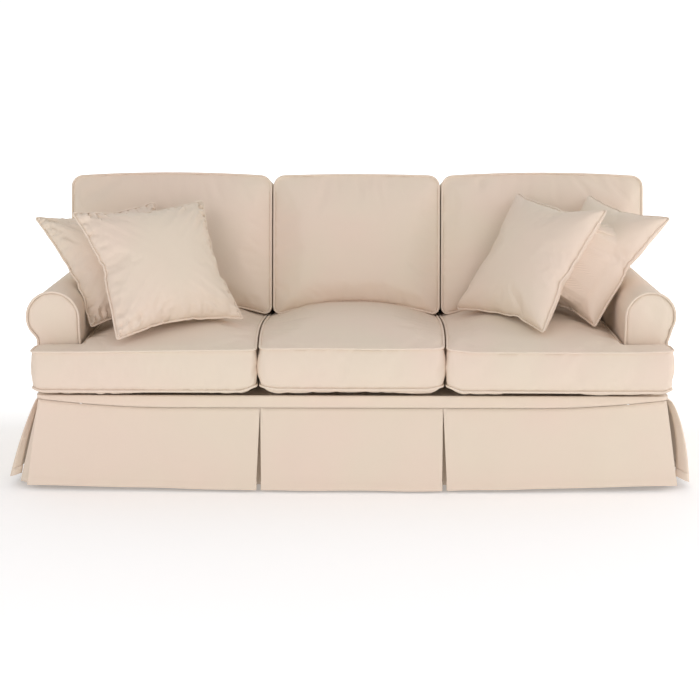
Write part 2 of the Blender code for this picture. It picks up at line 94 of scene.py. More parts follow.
# Seat cushions
SEAT_FRONT_Y = -0.492
SEAT_BACK_Y = 0.200
SEAT_LOW_Z = 0.366
SEAT_HIGH_Z = 0.491
SEAT_MIDDLE_X = 0.2980
SEAT_SIDE_X = 0.3165
SEAT_ARM_X = 0.9000
SEAT_EAR_X = 1.0540
SEAT_EAR_Y = -0.404
SEAT_CORNER_R = 0.022
EAR_NOOK_R = 0.008  # in the corner between an ear and its arm
SEAM_ARCH = 0.015  # of the high seams where two cushions meet
SEAM_PUSH = 0.013

# Back cushions, with u along the sofa, v up the lean and w towards the front
REST_Y = 0.060
REST_Z = 0.515
REST_SHIFT = 0.012
REST_HIGH = 0.497
REST_THICK = 0.165
REST_MIDDLE_U = 0.2985
REST_SIDE_U = 0.3165
REST_ARM_U = 0.8920
REST_EAR_U = 1.0400
REST_EAR_V = 0.200
REST_CORNER_R = 0.036
REST_LOW_R = 0.020
REST_ARCH = 0.040
REST_CROWN = 0.044
REST_WEDGE = 0.033

SPACING = 0.0125  # between the points of a cushion's panels
BOXING_ROWS = 8
FRONT_SPACING = 0.014  # between the points of the arms' fronts and the outside back

SIDES = ((-1, "left"), (0, "middle"), (1, "right"))


# Outlines, as in the model


def arc(cx, cy, radius, start, end, steps):
    angles = np.radians(np.linspace(start, end, steps + 1))
    return [(cx + radius * math.cos(a), cy + radius * math.sin(a)) for a in angles]


def rounded(corners, spacing, arc_steps=6):
    """An outline, counterclockwise, from rows of x, y, corner radius and the bow of the side after it."""
    count = len(corners)
    starts, ends, rounds = [], [], []
    for i in range(count):
        here = np.array(corners[i][:2])
        before = np.array(corners[i - 1][:2]) - here
        after = np.array(corners[(i + 1) % count][:2]) - here
        before, after = before / np.linalg.norm(before), after / np.linalg.norm(after)
        half = math.acos(np.clip(before @ after, -1, 1)) / 2
        reach = corners[i][2] / math.tan(half)
        first, last = here + before * reach, here + after * reach
        middle = here + (before + after) / np.linalg.norm(before + after) * corners[i][2] / math.sin(half)
        turns = []
        for k in range(arc_steps + 1):
            share = k / arc_steps
            spoke = (first - middle) * (1 - share) + (last - middle) * share
            turns.append(middle + spoke / np.linalg.norm(spoke) * corners[i][2])
        starts.append(first)
        ends.append(last)
        rounds.append(turns)
    points = []
    for i in range(count):
        points += rounds[i]
        begin, stop = ends[i], starts[(i + 1) % count]
        length = np.linalg.norm(stop - begin)
        steps = max(1, round(length / spacing))
        outward = np.array([(stop - begin)[1], -(stop - begin)[0]]) / length
        for k in range(1, steps):
            share = k / steps
            points.append(begin + (stop - begin) * share + outward * corners[i][3] * 4 * share * (1 - share))
    return np.array(points)


def outward_normals(outline):
    """At each point of a closed outline, the step that moves both its sides out by one."""
    ahead = np.roll(outline, -1, axis=0) - outline
    ahead /= np.linalg.norm(ahead, axis=1)[:, None]
    side = np.stack([ahead[:, 1], -ahead[:, 0]], axis=1)
    both = side + np.roll(side, 1, axis=0)
    return both / (both * side).sum(1)[:, None]


def fullness(points, outline):
    """How far a point is from all of a cushion's seam: the distance to it near one straight side."""
    total = np.zeros(len(points))
    for a, b in zip(outline, np.roll(outline, -1, axis=0)):
        along = (b - a) / np.linalg.norm(b - a)
        offset = points - a
        s0 = -(offset @ along)
        s1 = s0 + np.linalg.norm(b - a)
        h2 = np.maximum((offset**2).sum(1) - s0**2, 1e-9)
        total += (s1 / np.sqrt(h2 + s1**2) - s0 / np.sqrt(h2 + s0**2)) / h2
    return 1 / np.sqrt(np.maximum(total / 2, 1e-9))


def inside(points, outline):
    odd = np.zeros(len(points), bool)
    for a, b in zip(outline, np.roll(outline, -1, axis=0)):
        cut = (a[1] > points[:, 1]) != (b[1] > points[:, 1])
        at = a[0] + (points[:, 1] - a[1]) / (b[1] - a[1] if b[1] != a[1] else 1) * (b[0] - a[0])
        odd ^= cut & (points[:, 0] < at)
    return odd


def filled(outline, spacing):
    """The outline's points with a grid of points inside it, and triangles between them all."""
    low, high = outline.min(0), outline.max(0)
    counts = np.maximum(2, np.round((high - low) / spacing)).astype(int)
    xs = np.linspace(low[0], high[0], counts[0] + 1)[1:-1]
    ys = np.linspace(low[1], high[1], counts[1] + 1)[1:-1]
    grid = np.array([(x, y) for y in ys for x in xs])
    grid = grid[inside(grid, outline)]
    grid = grid[fullness(grid, outline) > spacing * 0.42]
    points = np.vstack([outline, grid])
    ring = [(i, (i + 1) % len(outline)) for i in range(len(outline))]
    _, _, triangles, _, _, _ = delaunay_2d_cdt([tuple(p) for p in points], ring, [], 1, 1e-6)
    return points, [tuple(t) for t in triangles]


def smooth_noise(values, seed, waves=5, low=1.0, high=4.0):
    """A smooth wavy number from -1 to 1 for each value, the same one each time."""
    pick = np.random.default_rng(seed)
    total = np.zeros(len(values))
    for _ in range(waves):
        total += np.sin(2 * math.pi * (pick.uniform(low, high) * values + pick.random()))
    return total / waves


def folds(x, y, rows):
    """How far soft folds move a sheet's points out; a row is a fold's two ends, its height and its width."""
    total = np.zeros(np.shape(x))
    for x0, y0, x1, y1, height, width in rows:
        dx, dy = x1 - x0, y1 - y0
        share = ((x - x0) * dx + (y - y0) * dy) / (dx * dx + dy * dy)
        held = np.clip(share, 0, 1)
        off = np.hypot(x - x0 - held * dx, y - y0 - held * dy)
        total += height * np.exp(-((off / width) ** 2)) * (0.35 + 0.65 * np.sin(math.pi * held))
    return total


# Cloth as a material


def twill(name, colour, bias=0.0, weave=1.0):
    """Plain cotton twill: fine diagonal ribs over its threads, with slubs, a faint drift of colour and painted
    shade in the grooves between the ribs.
    """
    made = bpy.data.materials.new(name)
    made.use_nodes = True
    tree = made.node_tree
    shader = tree.nodes["Principled BSDF"]

    def node(kind, fed, values=(), **settings):
        """A new node: fed gives the outputs that its inputs take, and values what the others are set to."""
        new = tree.nodes.new(f"ShaderNode{kind}")
        for key, value in settings.items():
            setattr(new, key, value)
        for key, value in dict(values).items():
            new.inputs[key].default_value = value
        for key, output in fed.items():
            tree.links.new(output, new.inputs[key])
        return new

    def wave(bands, scale, distortion):
        values = {"Scale": scale / weave, "Distortion": distortion}
        return node("TexWave", {"Vector": panel}, values, bands_direction=bands).outputs["Fac"]

    def noise(vector, **values):
        return node("TexNoise", {"Vector": vector}, values).outputs["Fac"]

    def ramp(factor, *stops):
        made_ramp = node("ValToRGB", {"Fac": factor})
        for element, (spot, shade) in zip(made_ramp.color_ramp.elements, stops):
            element.position = spot
            element.color = (*shade, 1.0)
        return made_ramp.outputs["Color"]

    uv = node("UVMap", {}, uv_map="cloth").outputs["UV"]
    panel = node("Mapping", {"Vector": uv}, {"Rotation": (0.0, 0.0, bias)}).outputs["Vector"]
    place = node("TexCoord", {}).outputs["Object"]
    rib, warp, weft = wave("DIAGONAL", 300.0, 0.6), wave("X", 470.0, 0.4), wave("Y", 470.0, 0.4)
    long_way = node("Mapping", {"Vector": panel}, {"Scale": (900.0, 45.0, 1.0)}).outputs["Vector"]
    slub = noise(long_way, Scale=1.0, Detail=2.0)
    threads = node("Math", {0: warp, 1: weft}, operation="ADD").outputs[0]
    ribbed = node("Math", {0: rib, 2: threads}, {1: 1.6}, operation="MULTIPLY_ADD").outputs[0]
    height = node("Math", {0: ribbed, 1: slub}, operation="ADD").outputs[0]
    rumple = noise(place, Scale=9.0, Detail=3.0, Roughness=0.45)
    rumpled = node("Bump", {"Height": rumple}, {"Strength": 0.5, "Distance": 0.0035}).outputs["Normal"]
    woven = node("Bump", {"Height": height, "Normal": rumpled}, {"Strength": 0.30, "Distance": 0.00018})
    tree.links.new(woven.outputs["Normal"], shader.inputs["Normal"])

    drift = noise(place, Scale=3.2, Detail=2.0, Roughness=0.5)
    r, g, b = colour
    warm, cool = (r * 1.010, g * 0.985, b * 0.985), (r * 0.993, g * 1.010, b * 0.990)
    tones = ramp(drift, (0.36, warm), (0.64, cool))
    # painted shade: the colour darkens to 0.90 in the grooves between the twill's ribs, where the bump sinks
    painted_rib_shade = ramp(rib, (0.0, (0.90, 0.89, 0.88)), (0.65, (1.0, 1.0, 1.0)))
    mixed = node("Mix", {}, data_type="RGBA", blend_type="MULTIPLY")
    mixed.inputs["Factor"].default_value = 1.0
    tree.links.new(tones, mixed.inputs["A"])
    tree.links.new(painted_rib_shade, mixed.inputs["B"])
    tree.links.new(mixed.outputs["Result"], shader.inputs["Base Color"])
    worn = node("MapRange", {"Value": slub}, {"To Min": 0.86, "To Max": 0.96})
    tree.links.new(worn.outputs["Result"], shader.inputs["Roughness"])
    for key, value in (("Sheen Weight", 0.10), ("Sheen Roughness", 0.5), ("Specular IOR Level", 0.22)):
        shader.inputs[key].default_value = value
    return made


BEIGE = (0.858, 0.741, 0.624)
SLOTS = ("cover_cloth", "skirt_cloth", "seat_cloth", "back_cloth", "pillow_cloth")
MATERIALS = {slot: twill(slot, BEIGE) for slot in SLOTS}
MATERIALS["welt_cloth"] = twill("welt_cloth", BEIGE, bias=math.radians(45))
MATERIALS["thread"] = twill("thread", tuple(1.02 * c for c in BEIGE), weave=0.4)


# Pieces


def box_uv(points, faces):
    """Each face corner's place on its flat panel in metres, from whichever way the face looks most."""
    points = np.asarray(points)
    out = []
    for face in faces:
        corners = points[list(face)]
        normal = np.abs(np.cross(corners[1] - corners[0], corners[2] - corners[0]))
        axis = int(normal.argmax())
        out += corners[:, [(1, 2), (0, 2), (0, 1)][axis]].tolist()
    return out


def piece(name, points, faces, slot, uv=None, replaces=(), sharp=50):
    """A mesh piece on the one body. uv is a pair of metres for each point, or None for box_uv's."""
    mesh = bpy.data.meshes.new(name)
    mesh.from_pydata(np.asarray(points, float).tolist(), [], [tuple(map(int, f)) for f in faces])
    layer = mesh.uv_layers.new(name="cloth")
    if uv is None:
        pairs = np.array(box_uv(points, faces))
    elif len(uv) == len(points):
        pairs = np.asarray(uv)[[k for f in faces for k in f]]
    else:
        pairs = np.asarray(uv)
    layer.data.foreach_set("uv", pairs.astype(np.float32).ravel())
    mesh.shade_smooth()
    mesh.set_sharp_from_angle(angle=math.radians(sharp))
    mesh.materials.append(MATERIALS[slot])
    made = bpy.data.objects.new(name, mesh)
    bpy.context.scene.collection.objects.link(made)
    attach(made, "root")
    if replaces:
        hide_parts(*replaces)
    return made


def running(points, closed=False):
    """How far along its path each point is, and the whole length."""
    ahead = np.roll(points, -1, axis=0) - points
    steps = np.linalg.norm(ahead, axis=1)
    if not closed:
        steps = steps[:-1]
    return np.concatenate([[0], np.cumsum(steps)])


def resampled(points, step, closed=False):
    """The path again, with points about a step apart."""
    points = np.asarray(points, float)
    path = np.vstack([points, points[:1]]) if closed else points
    at = running(path)
    want = np.linspace(0, at[-1], max(2, round(at[-1] / step)) + 1)
    if closed:
        want = want[:-1]
    return np.column_stack([np.interp(want, at, column) for column in path.T])


def tangents(path, closed):
    if closed:
        ahead = np.roll(path, -1, axis=0) - np.roll(path, 1, axis=0)
    else:
        ahead = np.gradient(path, axis=0)
    return ahead / np.linalg.norm(ahead, axis=1)[:, None]


def left_of(path):
    """Steps of length 1, square to a plane path and to its left."""
    ahead = tangents(path, False)
    return np.stack([-ahead[:, 1], ahead[:, 0]], axis=1)


def welt(name, path, radius, closed=True, seed=0, up=(0.0, 0.0, 1.0)):
    """A cord covered in cloth, slightly uneven along its length."""
    sides = 10
    along = tangents(path, closed)
    across = np.cross(along, np.array(up, float))
    weak = np.linalg.norm(across, axis=1) < 0.1
    across[weak] = np.cross(along[weak], (0.0, 1.0, 0.0))
    across /= np.linalg.norm(across, axis=1)[:, None]
    over = np.cross(across, along)
    at = running(np.vstack([path, path[:1]]) if closed else path)[: len(path)]
    size = radius * (1 + 0.05 * smooth_noise(at, seed, low=6, high=25))
    points, uv = [], []
    for k in range(sides):
        turn = 2 * math.pi * k / sides
        ring = path + (across * math.cos(turn) + over * math.sin(turn)) * size[:, None]
        points.append(ring)
        uv.append(np.column_stack([at, np.full(len(path), radius * turn)]))
    points, uv = np.concatenate(points), np.concatenate(uv)
    count = len(path)
    faces = []
    for k in range(sides):
        m = (k + 1) % sides
        for i in range(count if closed else count - 1):
            j = (i + 1) % count
            faces.append((k * count + i, m * count + i, m * count + j, k * count + j))
    if not closed:
        faces.append(tuple(k * count for k in range(sides)))
        faces.append(tuple(k * count + count - 1 for k in reversed(range(sides))))
    return piece(f"{name}_cord", points, faces, "welt_cloth", uv, [name], sharp=70)


def stitches(name, rows, out):
    """Rows of short stitches along paths; out is the way that they stand off the cloth, one for each path."""
    points, faces = [], []
    for path, away in zip(rows, out):
        spots = resampled(path, STITCH_STEP)
        along = tangents(spots, False)
        away = np.array(away, float)
        for spot, ahead in zip(spots[1:-1], along[1:-1]):
            side = np.cross(ahead, away)
            base = len(points)
            for end in (-1, 1):
                tip = spot + ahead * STITCH / 2 * end
                points += [tip - away * 0.0004, spot + ahead * STITCH / 4 * end + away * 0.0005]
                points += [spot + ahead * STITCH / 4 * end + side * 0.00045]
                points += [spot + ahead * STITCH / 4 * end - side * 0.00045]
            t0, u0, l0, r0, t1, u1, l1, r1 = range(base, base + 8)
            faces += [(t0, u0, l0), (t0, r0, u0), (t1, l1, u1), (t1, u1, r1)]
            faces += [(u0, u1, l1, l0), (r0, r1, u1, u0), (l0, l1, r1, r0), (t0, l0, r0), (t1, r1, l1)]
    return piece(name, points, faces, "thread")


# Cloth simulation


def simulate(jobs, frames):
    """Inflates every job's mesh at once. A job has points, faces, pins, pressure, shrink and a cap."""
    made = []
    for job in jobs:
        mesh = bpy.data.meshes.new("sim")
        mesh.from_pydata(np.asarray(job["points"]).tolist(), [], [tuple(map(int, f)) for f in job["faces"]])
        thing = bpy.data.objects.new("sim", mesh)
        bpy.context.scene.collection.objects.link(thing)
        cloth = thing.modifiers.new("cloth", "CLOTH")
        held = cloth.settings
        held.quality = 6
        held.mass = 0.25
        held.air_damping = 4.0
        held.tension_stiffness = job.get("tension", 25.0)
        held.compression_stiffness = job.get("tension", 25.0)
        held.shear_stiffness = 8.0
        held.bending_stiffness = job.get("bending", 0.6)
        held.use_pressure = True
        held.uniform_pressure_force = job["pressure"]
        held.shrink_min = job.get("shrink", 0.0)
        held.effector_weights.gravity = 0.0
        if len(job["pins"]):
            group = thing.vertex_groups.new(name="pin")
            group.add([int(k) for k in job["pins"]], 1.0, "REPLACE")
            held.vertex_group_mass = "pin"
        cloth.point_cache.frame_start = 1
        cloth.point_cache.frame_end = frames
        made.append(thing)
    scene = bpy.context.scene
    for k in range(1, frames + 1):
        scene.frame_set(k)
    graph = bpy.context.evaluated_depsgraph_get()
    results = []
    for job, thing in zip(jobs, made):
        done = thing.evaluated_get(graph)
        moved = np.zeros(len(thing.data.vertices) * 3, np.float32)
        done.data.vertices.foreach_get("co", moved)
        moved = moved.reshape(-1, 3).astype(float)
        step = moved - job["points"]
        far = np.linalg.norm(step, axis=1)
        cap = job.get("cap")
        if cap:
            step *= (np.minimum(far, cap) / np.maximum(far, 1e-9))[:, None]
        results.append(job["points"] + step)
    for thing in made:
        bpy.data.objects.remove(thing, do_unlink=True)
    scene.frame_set(1)
    return results


# Box cushions


def box_outline(side, middle, outer):
    """A seam from the middle cushion's rows, or the right one's, which the left one mirrors."""
    if side == 0:
        return rounded(middle, SPACING)
    made = rounded(outer, SPACING)
    return made if side > 0 else made[::-1] * (-1, 1)


def seat_outline(side):
    r, x = SEAT_CORNER_R, SEAT_MIDDLE_X
    front, back = SEAT_FRONT_Y, SEAT_BACK_Y
    middle = ((-x, front, r, 0.002), (x, front, r, 0.0), (x, back, r, 0.0), (-x, back, r, 0.0))
    outer = (
        (SEAT_SIDE_X, front, r, 0.002),
        (SEAT_EAR_X, front, r, 0.0),
        (SEAT_EAR_X, SEAT_EAR_Y, r, 0.0),
        (SEAT_ARM_X, SEAT_EAR_Y, EAR_NOOK_R, 0.0),
        (SEAT_ARM_X, back, r, 0.0),
        (SEAT_SIDE_X, back, r, 0.0),
    )
    return box_outline(side, middle, outer)


def rest_outline(side):
    """The front seam of a back cushion, with its underside arched over the seat."""
    r, low_r, u = REST_CORNER_R, REST_LOW_R, REST_MIDDLE_U
    high, arch = REST_HIGH, -REST_ARCH
    middle = ((-u, 0.0, low_r, arch), (u, 0.0, low_r, 0.0), (u, high, r, 0.004), (-u, high, r, 0.0))
    outer = (
        (REST_SIDE_U, 0.0, low_r, arch),
        (REST_ARM_U, 0.0, low_r, 0.0),
        (REST_ARM_U, REST_EAR_V, EAR_NOOK_R, 0.0),
        (REST_EAR_U, REST_EAR_V, r, 0.0),
        (REST_EAR_U, high, r, 0.010),
        (REST_SIDE_U, high, r, 0.0),
    )
    return box_outline(side, middle, outer)


def place_rest(points):
    """From u, v, w to the leaning back cushions' place in the sofa."""
    u, v, w = np.asarray(points).T
    v = v + REST_WEDGE * (-w / REST_THICK) * (1 - v / REST_HIGH)
    y = REST_Y + v * math.sin(LEAN) - w * math.cos(LEAN)
    z = REST_Z + v * math.cos(LEAN) + w * math.sin(LEAN)
    return np.stack([u + REST_SHIFT, y, z], axis=1)


def eased(values, start, end):
    """From 0 at start to 1 at end, with no corner at either."""
    share = np.clip((np.asarray(values) - start) / (end - start), 0, 1)
    return share * share * (3 - 2 * share)


def place_seat(points):
    """The seats' seams as they have settled: low along the front, high and full where two cushions meet."""
    points = np.array(points)
    x, y, z = points.T
    joint_x = (SEAT_MIDDLE_X + SEAT_SIDE_X) / 2
    side = np.where(x < -joint_x, -1, np.where(x > joint_x, 1, 0))
    far = np.abs(x)
    low_part = 1 - eased(z, SEAT_LOW_Z, SEAT_HIGH_Z)
    high_part = 1 - low_part
    from_joint = np.where(side == 0, SEAT_MIDDLE_X - far, far - SEAT_SIDE_X)
    from_ear = np.where(side == 0, 1.0, SEAT_EAR_X - far)
    rounding = eased(from_joint, -0.002, 0.055) * (0.6 + 0.4 * eased(from_ear, 0.0, 0.03))
    low_drop = np.where(side == 0, 0.008, 0.0155) * rounding * eased(-y, 0.41, 0.475)
    outer = eased(far, SEAT_SIDE_X, SEAT_EAR_X)
    high_drop = np.select(
        [side < 0, side == 0],
        [0.002 + 0.008 * outer, -0.0035 + 0.001 * np.sin(x * 16)],
        0.008 * eased(from_joint, 0.0, 0.09) * (1 - 0.6 * eased(far, 0.92, SEAT_EAR_X)),
    )
    high_drop = high_drop * eased(-y, 0.22, 0.49)
    back_half = np.sin(math.pi * np.clip((y - SEAT_FRONT_Y) / (SEAT_BACK_Y - SEAT_FRONT_Y), 0, 1))
    joint = far - joint_x
    arch = SEAM_ARCH * back_half * np.exp(-((joint / 0.05) ** 2))
    points[:, 2] += high_part * (arch - high_drop) - low_part * low_drop
    points[:, 0] += np.sign(x) * SEAM_PUSH * back_half * np.exp(-((joint / 0.15) ** 2))
    return points


def crown_rise(points, outline, power, set_back=0.0):
    """From 0 on the seam to 1 at the fullest place, which set_back moves towards +Y."""
    low, high = outline[:, 1].min(), outline[:, 1].max()
    share = (2 * points[:, 1] - low - high) / (high - low)
    warped = points.copy()
    warped[:, 1] -= set_back * (1 - share**2) * (high - low) / 2
    swell = fullness(warped, outline)
    share = swell / swell.max()
    return 1 - (1 - share) ** power


def puckers(points, outline, seed, depth):
    """Short dents that run in from a seam, where its panel is gathered a little."""
    at = running(outline, True)[:-1]
    off = np.linalg.norm(points[:, None, :] - outline[None, :, :], axis=2)
    near = off.argmin(1)
    wavy = smooth_noise(at[near], seed, waves=6, low=8, high=26)
    return depth * np.minimum(wavy, 0.25) * np.exp(-off.min(1) / 0.016)


def box_shape(spec):
    """A box cushion's points and faces in its own u, v, w, and its two seams' point numbers."""
    outline = spec["outline"]
    points, triangles = filled(outline, SPACING)
    rim, count = len(outline), len(points)
    rise = np.zeros(count)
    rise[rim:] = crown_rise(points[rim:], outline, spec["power"], spec["set_back"])
    dents = np.zeros(count)
    dents[rim:] = puckers(points[rim:], outline, spec["seed"], 0.0022)
    over = spec["high"] + spec["crown"] * rise + dents + folds(points[:, 0], points[:, 1], spec["folds"])
    over[:rim] = spec["high"]
    sag = np.zeros(count)
    sag[rim:] = crown_rise(points[rim:], outline, spec["power_low"])
    under = spec["low"] - spec["crown_low"] * sag
    under[:rim] = spec["low"]
    levels = [np.column_stack([points, under]), np.column_stack([points, over])]
    out = outward_normals(outline)
    at = running(outline, True)[:-1]
    for k in range(1, BOXING_ROWS):
        share = k / BOXING_ROWS
        bulge = spec["bulge"] * math.sin(math.pi * share) ** 0.8
        bulge = bulge * (1 + 0.25 * smooth_noise(at, spec["seed"] + 7, low=2, high=7))
        edge = np.minimum(share, 1 - share)
        bulge = bulge - 0.0012 * math.exp(-edge / 0.12) * smooth_noise(at, spec["seed"] + 9, low=8, high=24)
        flat = outline + out * bulge[:, None]
        height = spec["low"] + (spec["high"] - spec["low"]) * share
        levels.append(np.column_stack([flat, np.full(rim, height)]))
    faces = [tuple(reversed(t)) for t in triangles]
    faces += [tuple(i + count for i in t) for t in triangles]
    rings = [list(range(rim))]
    rings += [list(range(2 * count + k * rim, 2 * count + (k + 1) * rim)) for k in range(BOXING_ROWS - 1)]
    rings.append([i + count for i in range(rim)])
    for below, above in zip(rings, rings[1:]):
        for i in range(rim):
            j = (i + 1) % rim
            faces.append((below[i], below[j], above[j], above[i]))
    return np.vstack(levels), faces, rings[0], rings[-1]


def box_uv_of(spec, points, faces):
    """Panels lie flat in u and v; the boxing runs round the outline."""
    outline = spec["outline"]
    at = running(outline, True)
    rim = len(outline)
    count = (len(points) - rim * (BOXING_ROWS - 1)) // 2
    number = np.arange(len(points))
    ring = np.where(number < 2 * count, number % count, (number - 2 * count) % rim)
    pairs = []
    for face in faces:
        face = list(face)
        if len(face) == 3:
            pairs += points[face][:, :2].tolist()
            continue
        across = at[ring[face]]
        if across.max() - across.min() > at[-1] / 2:
            across = np.where(across < at[-1] / 2, across + at[-1], across)
        pairs += np.column_stack([across, points[face][:, 2]]).tolist()
    return pairs


SEAT_CUSHION = {
    "slot": "seat_cloth",
    "low": SEAT_LOW_Z,
    "high": SEAT_HIGH_Z,
    "power": 1.35,
    "set_back": 0.35,
    "power_low": 9.0,
    "folds": (),
    "place": place_seat,
}
BACK_CUSHION = {
    "slot": "back_cloth",
    "low": -REST_THICK,
    "high": 0.0,
    "crown_low": 0.010,
    "crown": REST_CROWN,
    "power": 2.1,
    "set_back": -0.22,
    "power_low": 2.1,
    "bulge": 0.0080,
    "place": place_rest,
}
# Creases of each back cushion's front, in its u and v
REST_FOLDS = {
    -1: ((-0.98, 0.455, -0.86, 0.470, -0.003, 0.014), (-0.36, 0.33, -0.40, 0.20, 0.003, 0.03)),
    0: (
        (-0.104, 0.492, -0.106, 0.462, -0.0050, 0.009),
        (-0.070, 0.494, -0.068, 0.440, -0.0075, 0.009),
        (-0.032, 0.494, -0.034, 0.462, -0.0050, 0.009),
        (0.004, 0.494, 0.008, 0.432, -0.0080, 0.009),
        (0.040, 0.493, 0.044, 0.464, -0.0050, 0.009),
    ),
    1: ((0.462, 0.492, 0.446, 0.448, -0.0085, 0.010), (0.96, 0.47, 0.80, 0.485, -0.004, 0.014)),
}


def box_specs():
    """All six box cushions: what each kind shares, and then each one's own."""
    specs = []
    for side, word in SIDES:
        own = {
            "name": f"seat_cushion_{word}",
            "welts": (f"seat_welt_low_{word}", f"seat_welt_high_{word}"),
            "outline": seat_outline(side),
            "crown_low": 0.0275 if side == 0 else 0.0195,
            "crown": 0.062 if side == 0 else 0.054,
            "bulge": {-1: 0.0065, 0: 0.0115, 1: 0.0100}[side],
            "seed": 20 + side,
        }
        specs.append(SEAT_CUSHION | own)
    for side, word in SIDES:
        own = {
            "name": f"back_cushion_{word}",
            "welts": (f"back_welt_rear_{word}", f"back_welt_front_{word}"),
            "outline": rest_outline(side),
            "folds": REST_FOLDS[side],
            "seed": 40 + side,
        }
        specs.append(BACK_CUSHION | own)
    return specs


# Pillows


PILLOW_THICK = 0.160
PILLOW_CELLS = 60
PILLOW_HALF = 0.25  # half a side of the flat square that the simulation fills
PILLOW_CLEAR = 0.003
PILLOW_FULLNESS = 0.6  # the less, the fuller it is near its seam
PILLOWS = {
    # the corners of its seam from the top left one, clockwise as seen from the front
    "pillow_left_front": (
        (-0.941, -0.270, 0.917),
        (-0.540, 0.000, 0.927),
        (-0.381, -0.220, 0.546),
        (-0.773, -0.460, 0.522),
    ),
    "pillow_left_rear": (
        (-1.105, -0.130, 0.881),
        (-0.717, 0.050, 0.916),
        (-0.550, -0.090, 0.570),
        (-0.890, -0.300, 0.530),
    ),
    "pillow_right_front": (
        (0.598, 0.075, 0.945),
        (0.857, -0.260, 0.923),
        (0.642, -0.380, 0.530),
        (0.376, -0.020, 0.545),
    ),
    "pillow_right_rear": (
        (0.853, 0.070, 0.940),
        (1.088, -0.170, 0.889),
        (0.834, -0.250, 0.530),
        (0.610, 0.000, 0.575),
    ),
}


def clear_of_arm(points, clear):
    """Points of a pillow that leans on an arm, pressed back to the arm's surface and a little more."""
    points = np.array(points)
    for k, (x, y, z) in enumerate(points):
        side = -1 if x < 0 else 1
        middle_x, middle_z = ARM_IN_X + ROLL_R[side], ROLL_Z[side] + ROLL_RISE
        if abs(x) < ARM_IN_X - clear:
            continue
        if z <= middle_z:
            points[k, 0] = side * (ARM_IN_X - clear)
            continue
        away = np.array([abs(x) - middle_x, z - middle_z])
        far = np.linalg.norm(away)
        if far < ROLL_R[side] + clear:
            away *= (ROLL_R[side] + clear) / far
            points[k, 0], points[k, 2] = side * (middle_x + away[0]), middle_z + away[1]
    return points


def pillow_net():
    """Two square sheets of unit half side that share their seam: points, faces and the seam in order."""
    n = PILLOW_CELLS
    steps = np.linspace(-1, 1, n + 1)
    points, index = [], {}
    for sheet in (1, -1):
        for i in range(n + 1):
            for j in range(n + 1):
                edge = i in (0, n) or j in (0, n)
                if sheet < 0 and edge:
                    index[sheet, i, j] = index[1, i, j]
                    continue
                index[sheet, i, j] = len(points)
                s, t = steps[i], steps[j]
                points.append((s, t, sheet * ((1 - s * s) * (1 - t * t)) ** 0.5))
    faces = []
    for i in range(n):
        for j in range(n):
            quad = [(i, j), (i + 1, j), (i + 1, j + 1), (i, j + 1)]
            faces.append(tuple(index[(1, *q)] for q in quad))
            faces.append(tuple(index[(-1, *q)] for q in reversed(quad)))
    seam = [index[1, i, 0] for i in range(n)] + [index[1, n, j] for j in range(n)]
    seam += [index[1, i, n] for i in range(n, 0, -1)] + [index[1, 0, j] for j in range(n, 0, -1)]
    return np.array(points), faces, seam


def drawn_pillow(points):
    """The pillow's shape without simulation: sides drawn in between the corners."""
    s, t, w = points.T
    drawn_in = 0.055
    return np.column_stack([s * (1 - drawn_in * (1 - t * t)), t * (1 - drawn_in * (1 - s * s)), w])


def gathers(net, seed):
    """How far each point of a pillow's two sheets is drawn in where the seam gathers them, with soft folds
    that run in from the corners."""
    s, t = net[:, 0], net[:, 1]
    by_side = np.abs(s) > np.abs(t)
    along = np.where(by_side, t, s)
    off = 1 - np.where(by_side, np.abs(s), np.abs(t))
    side = np.select([by_side & (s > 0), by_side, t > 0], [0.0, 2.6, 5.2], 7.8)
    fine = np.clip(1.8 * smooth_noise(along + side, seed, waves=7, low=4.5, high=10), -0.3, 1)
    corner = 0.35 + 0.65 * np.abs(along) ** 2
    dents = 0.45 * fine * corner * np.exp(-off / 0.10) * np.clip(off / 0.04, 0, 1)
    slant = np.abs(s) - np.abs(t)
    reach = np.minimum(np.abs(s), np.abs(t))
    turn = smooth_noise(slant * 1.3 + np.sign(s) * 3 + np.sign(t) * 5, seed + 5, waves=5, low=2.0, high=7.0)
    soft = 0.20 * turn * np.clip(reach, 0, 1) ** 1.5 * np.clip(off / 0.15, 0, 1)
    return dents + soft


def pillow_creases(net, seed):
    """Short creases where each side is gathered into its seam, and two longer ones out of each corner."""
    pick = np.random.default_rng(seed)
    rows = []
    for turn in range(4):
        way = np.array([math.cos(turn * math.pi / 2), math.sin(turn * math.pi / 2)])
        side = np.array([-way[1], way[0]])
        for at in (-0.82, -0.62, -0.38, -0.1, 0.22, 0.5, 0.74, 0.88):
            start = way * 0.985 + side * (at + pick.uniform(-0.05, 0.05))
            end = way * (0.9 - pick.uniform(0.02, 0.16)) + side * (at * 0.93 + pick.uniform(-0.05, 0.05))
            rows.append((*start, *end, pick.uniform(0.03, 0.10), pick.uniform(0.028, 0.04)))
        corner = way + side
        for lean in (-0.16, 0.14):
            end = corner * pick.uniform(0.50, 0.68) + (way - side) * lean
            rows.append((*(corner * 0.95), *end, pick.uniform(0.06, 0.11), 0.05))
    return folds(net[:, 0], net[:, 1], rows)


def place_pillow(points, corners):
    """From a square of unit half side, with w from -1 to 1, to the pillow's four corners."""
    a, b, c, d = (np.array(p) for p in corners)
    s, t, w = points.T
    right, up = ((1 + s) / 2)[:, None], ((1 + t) / 2)[:, None]
    at = (a * (1 - right) + b * right) * up + (d * (1 - right) + c * right) * (1 - up)
    across = (b - a) * up + (c - d) * (1 - up)
    rise = (a - d) * (1 - right) + (b - c) * right
    front = np.cross(across, rise)
    front /= np.linalg.norm(front, axis=1)[:, None]
    return at + front * (w * PILLOW_THICK / 2)[:, None]


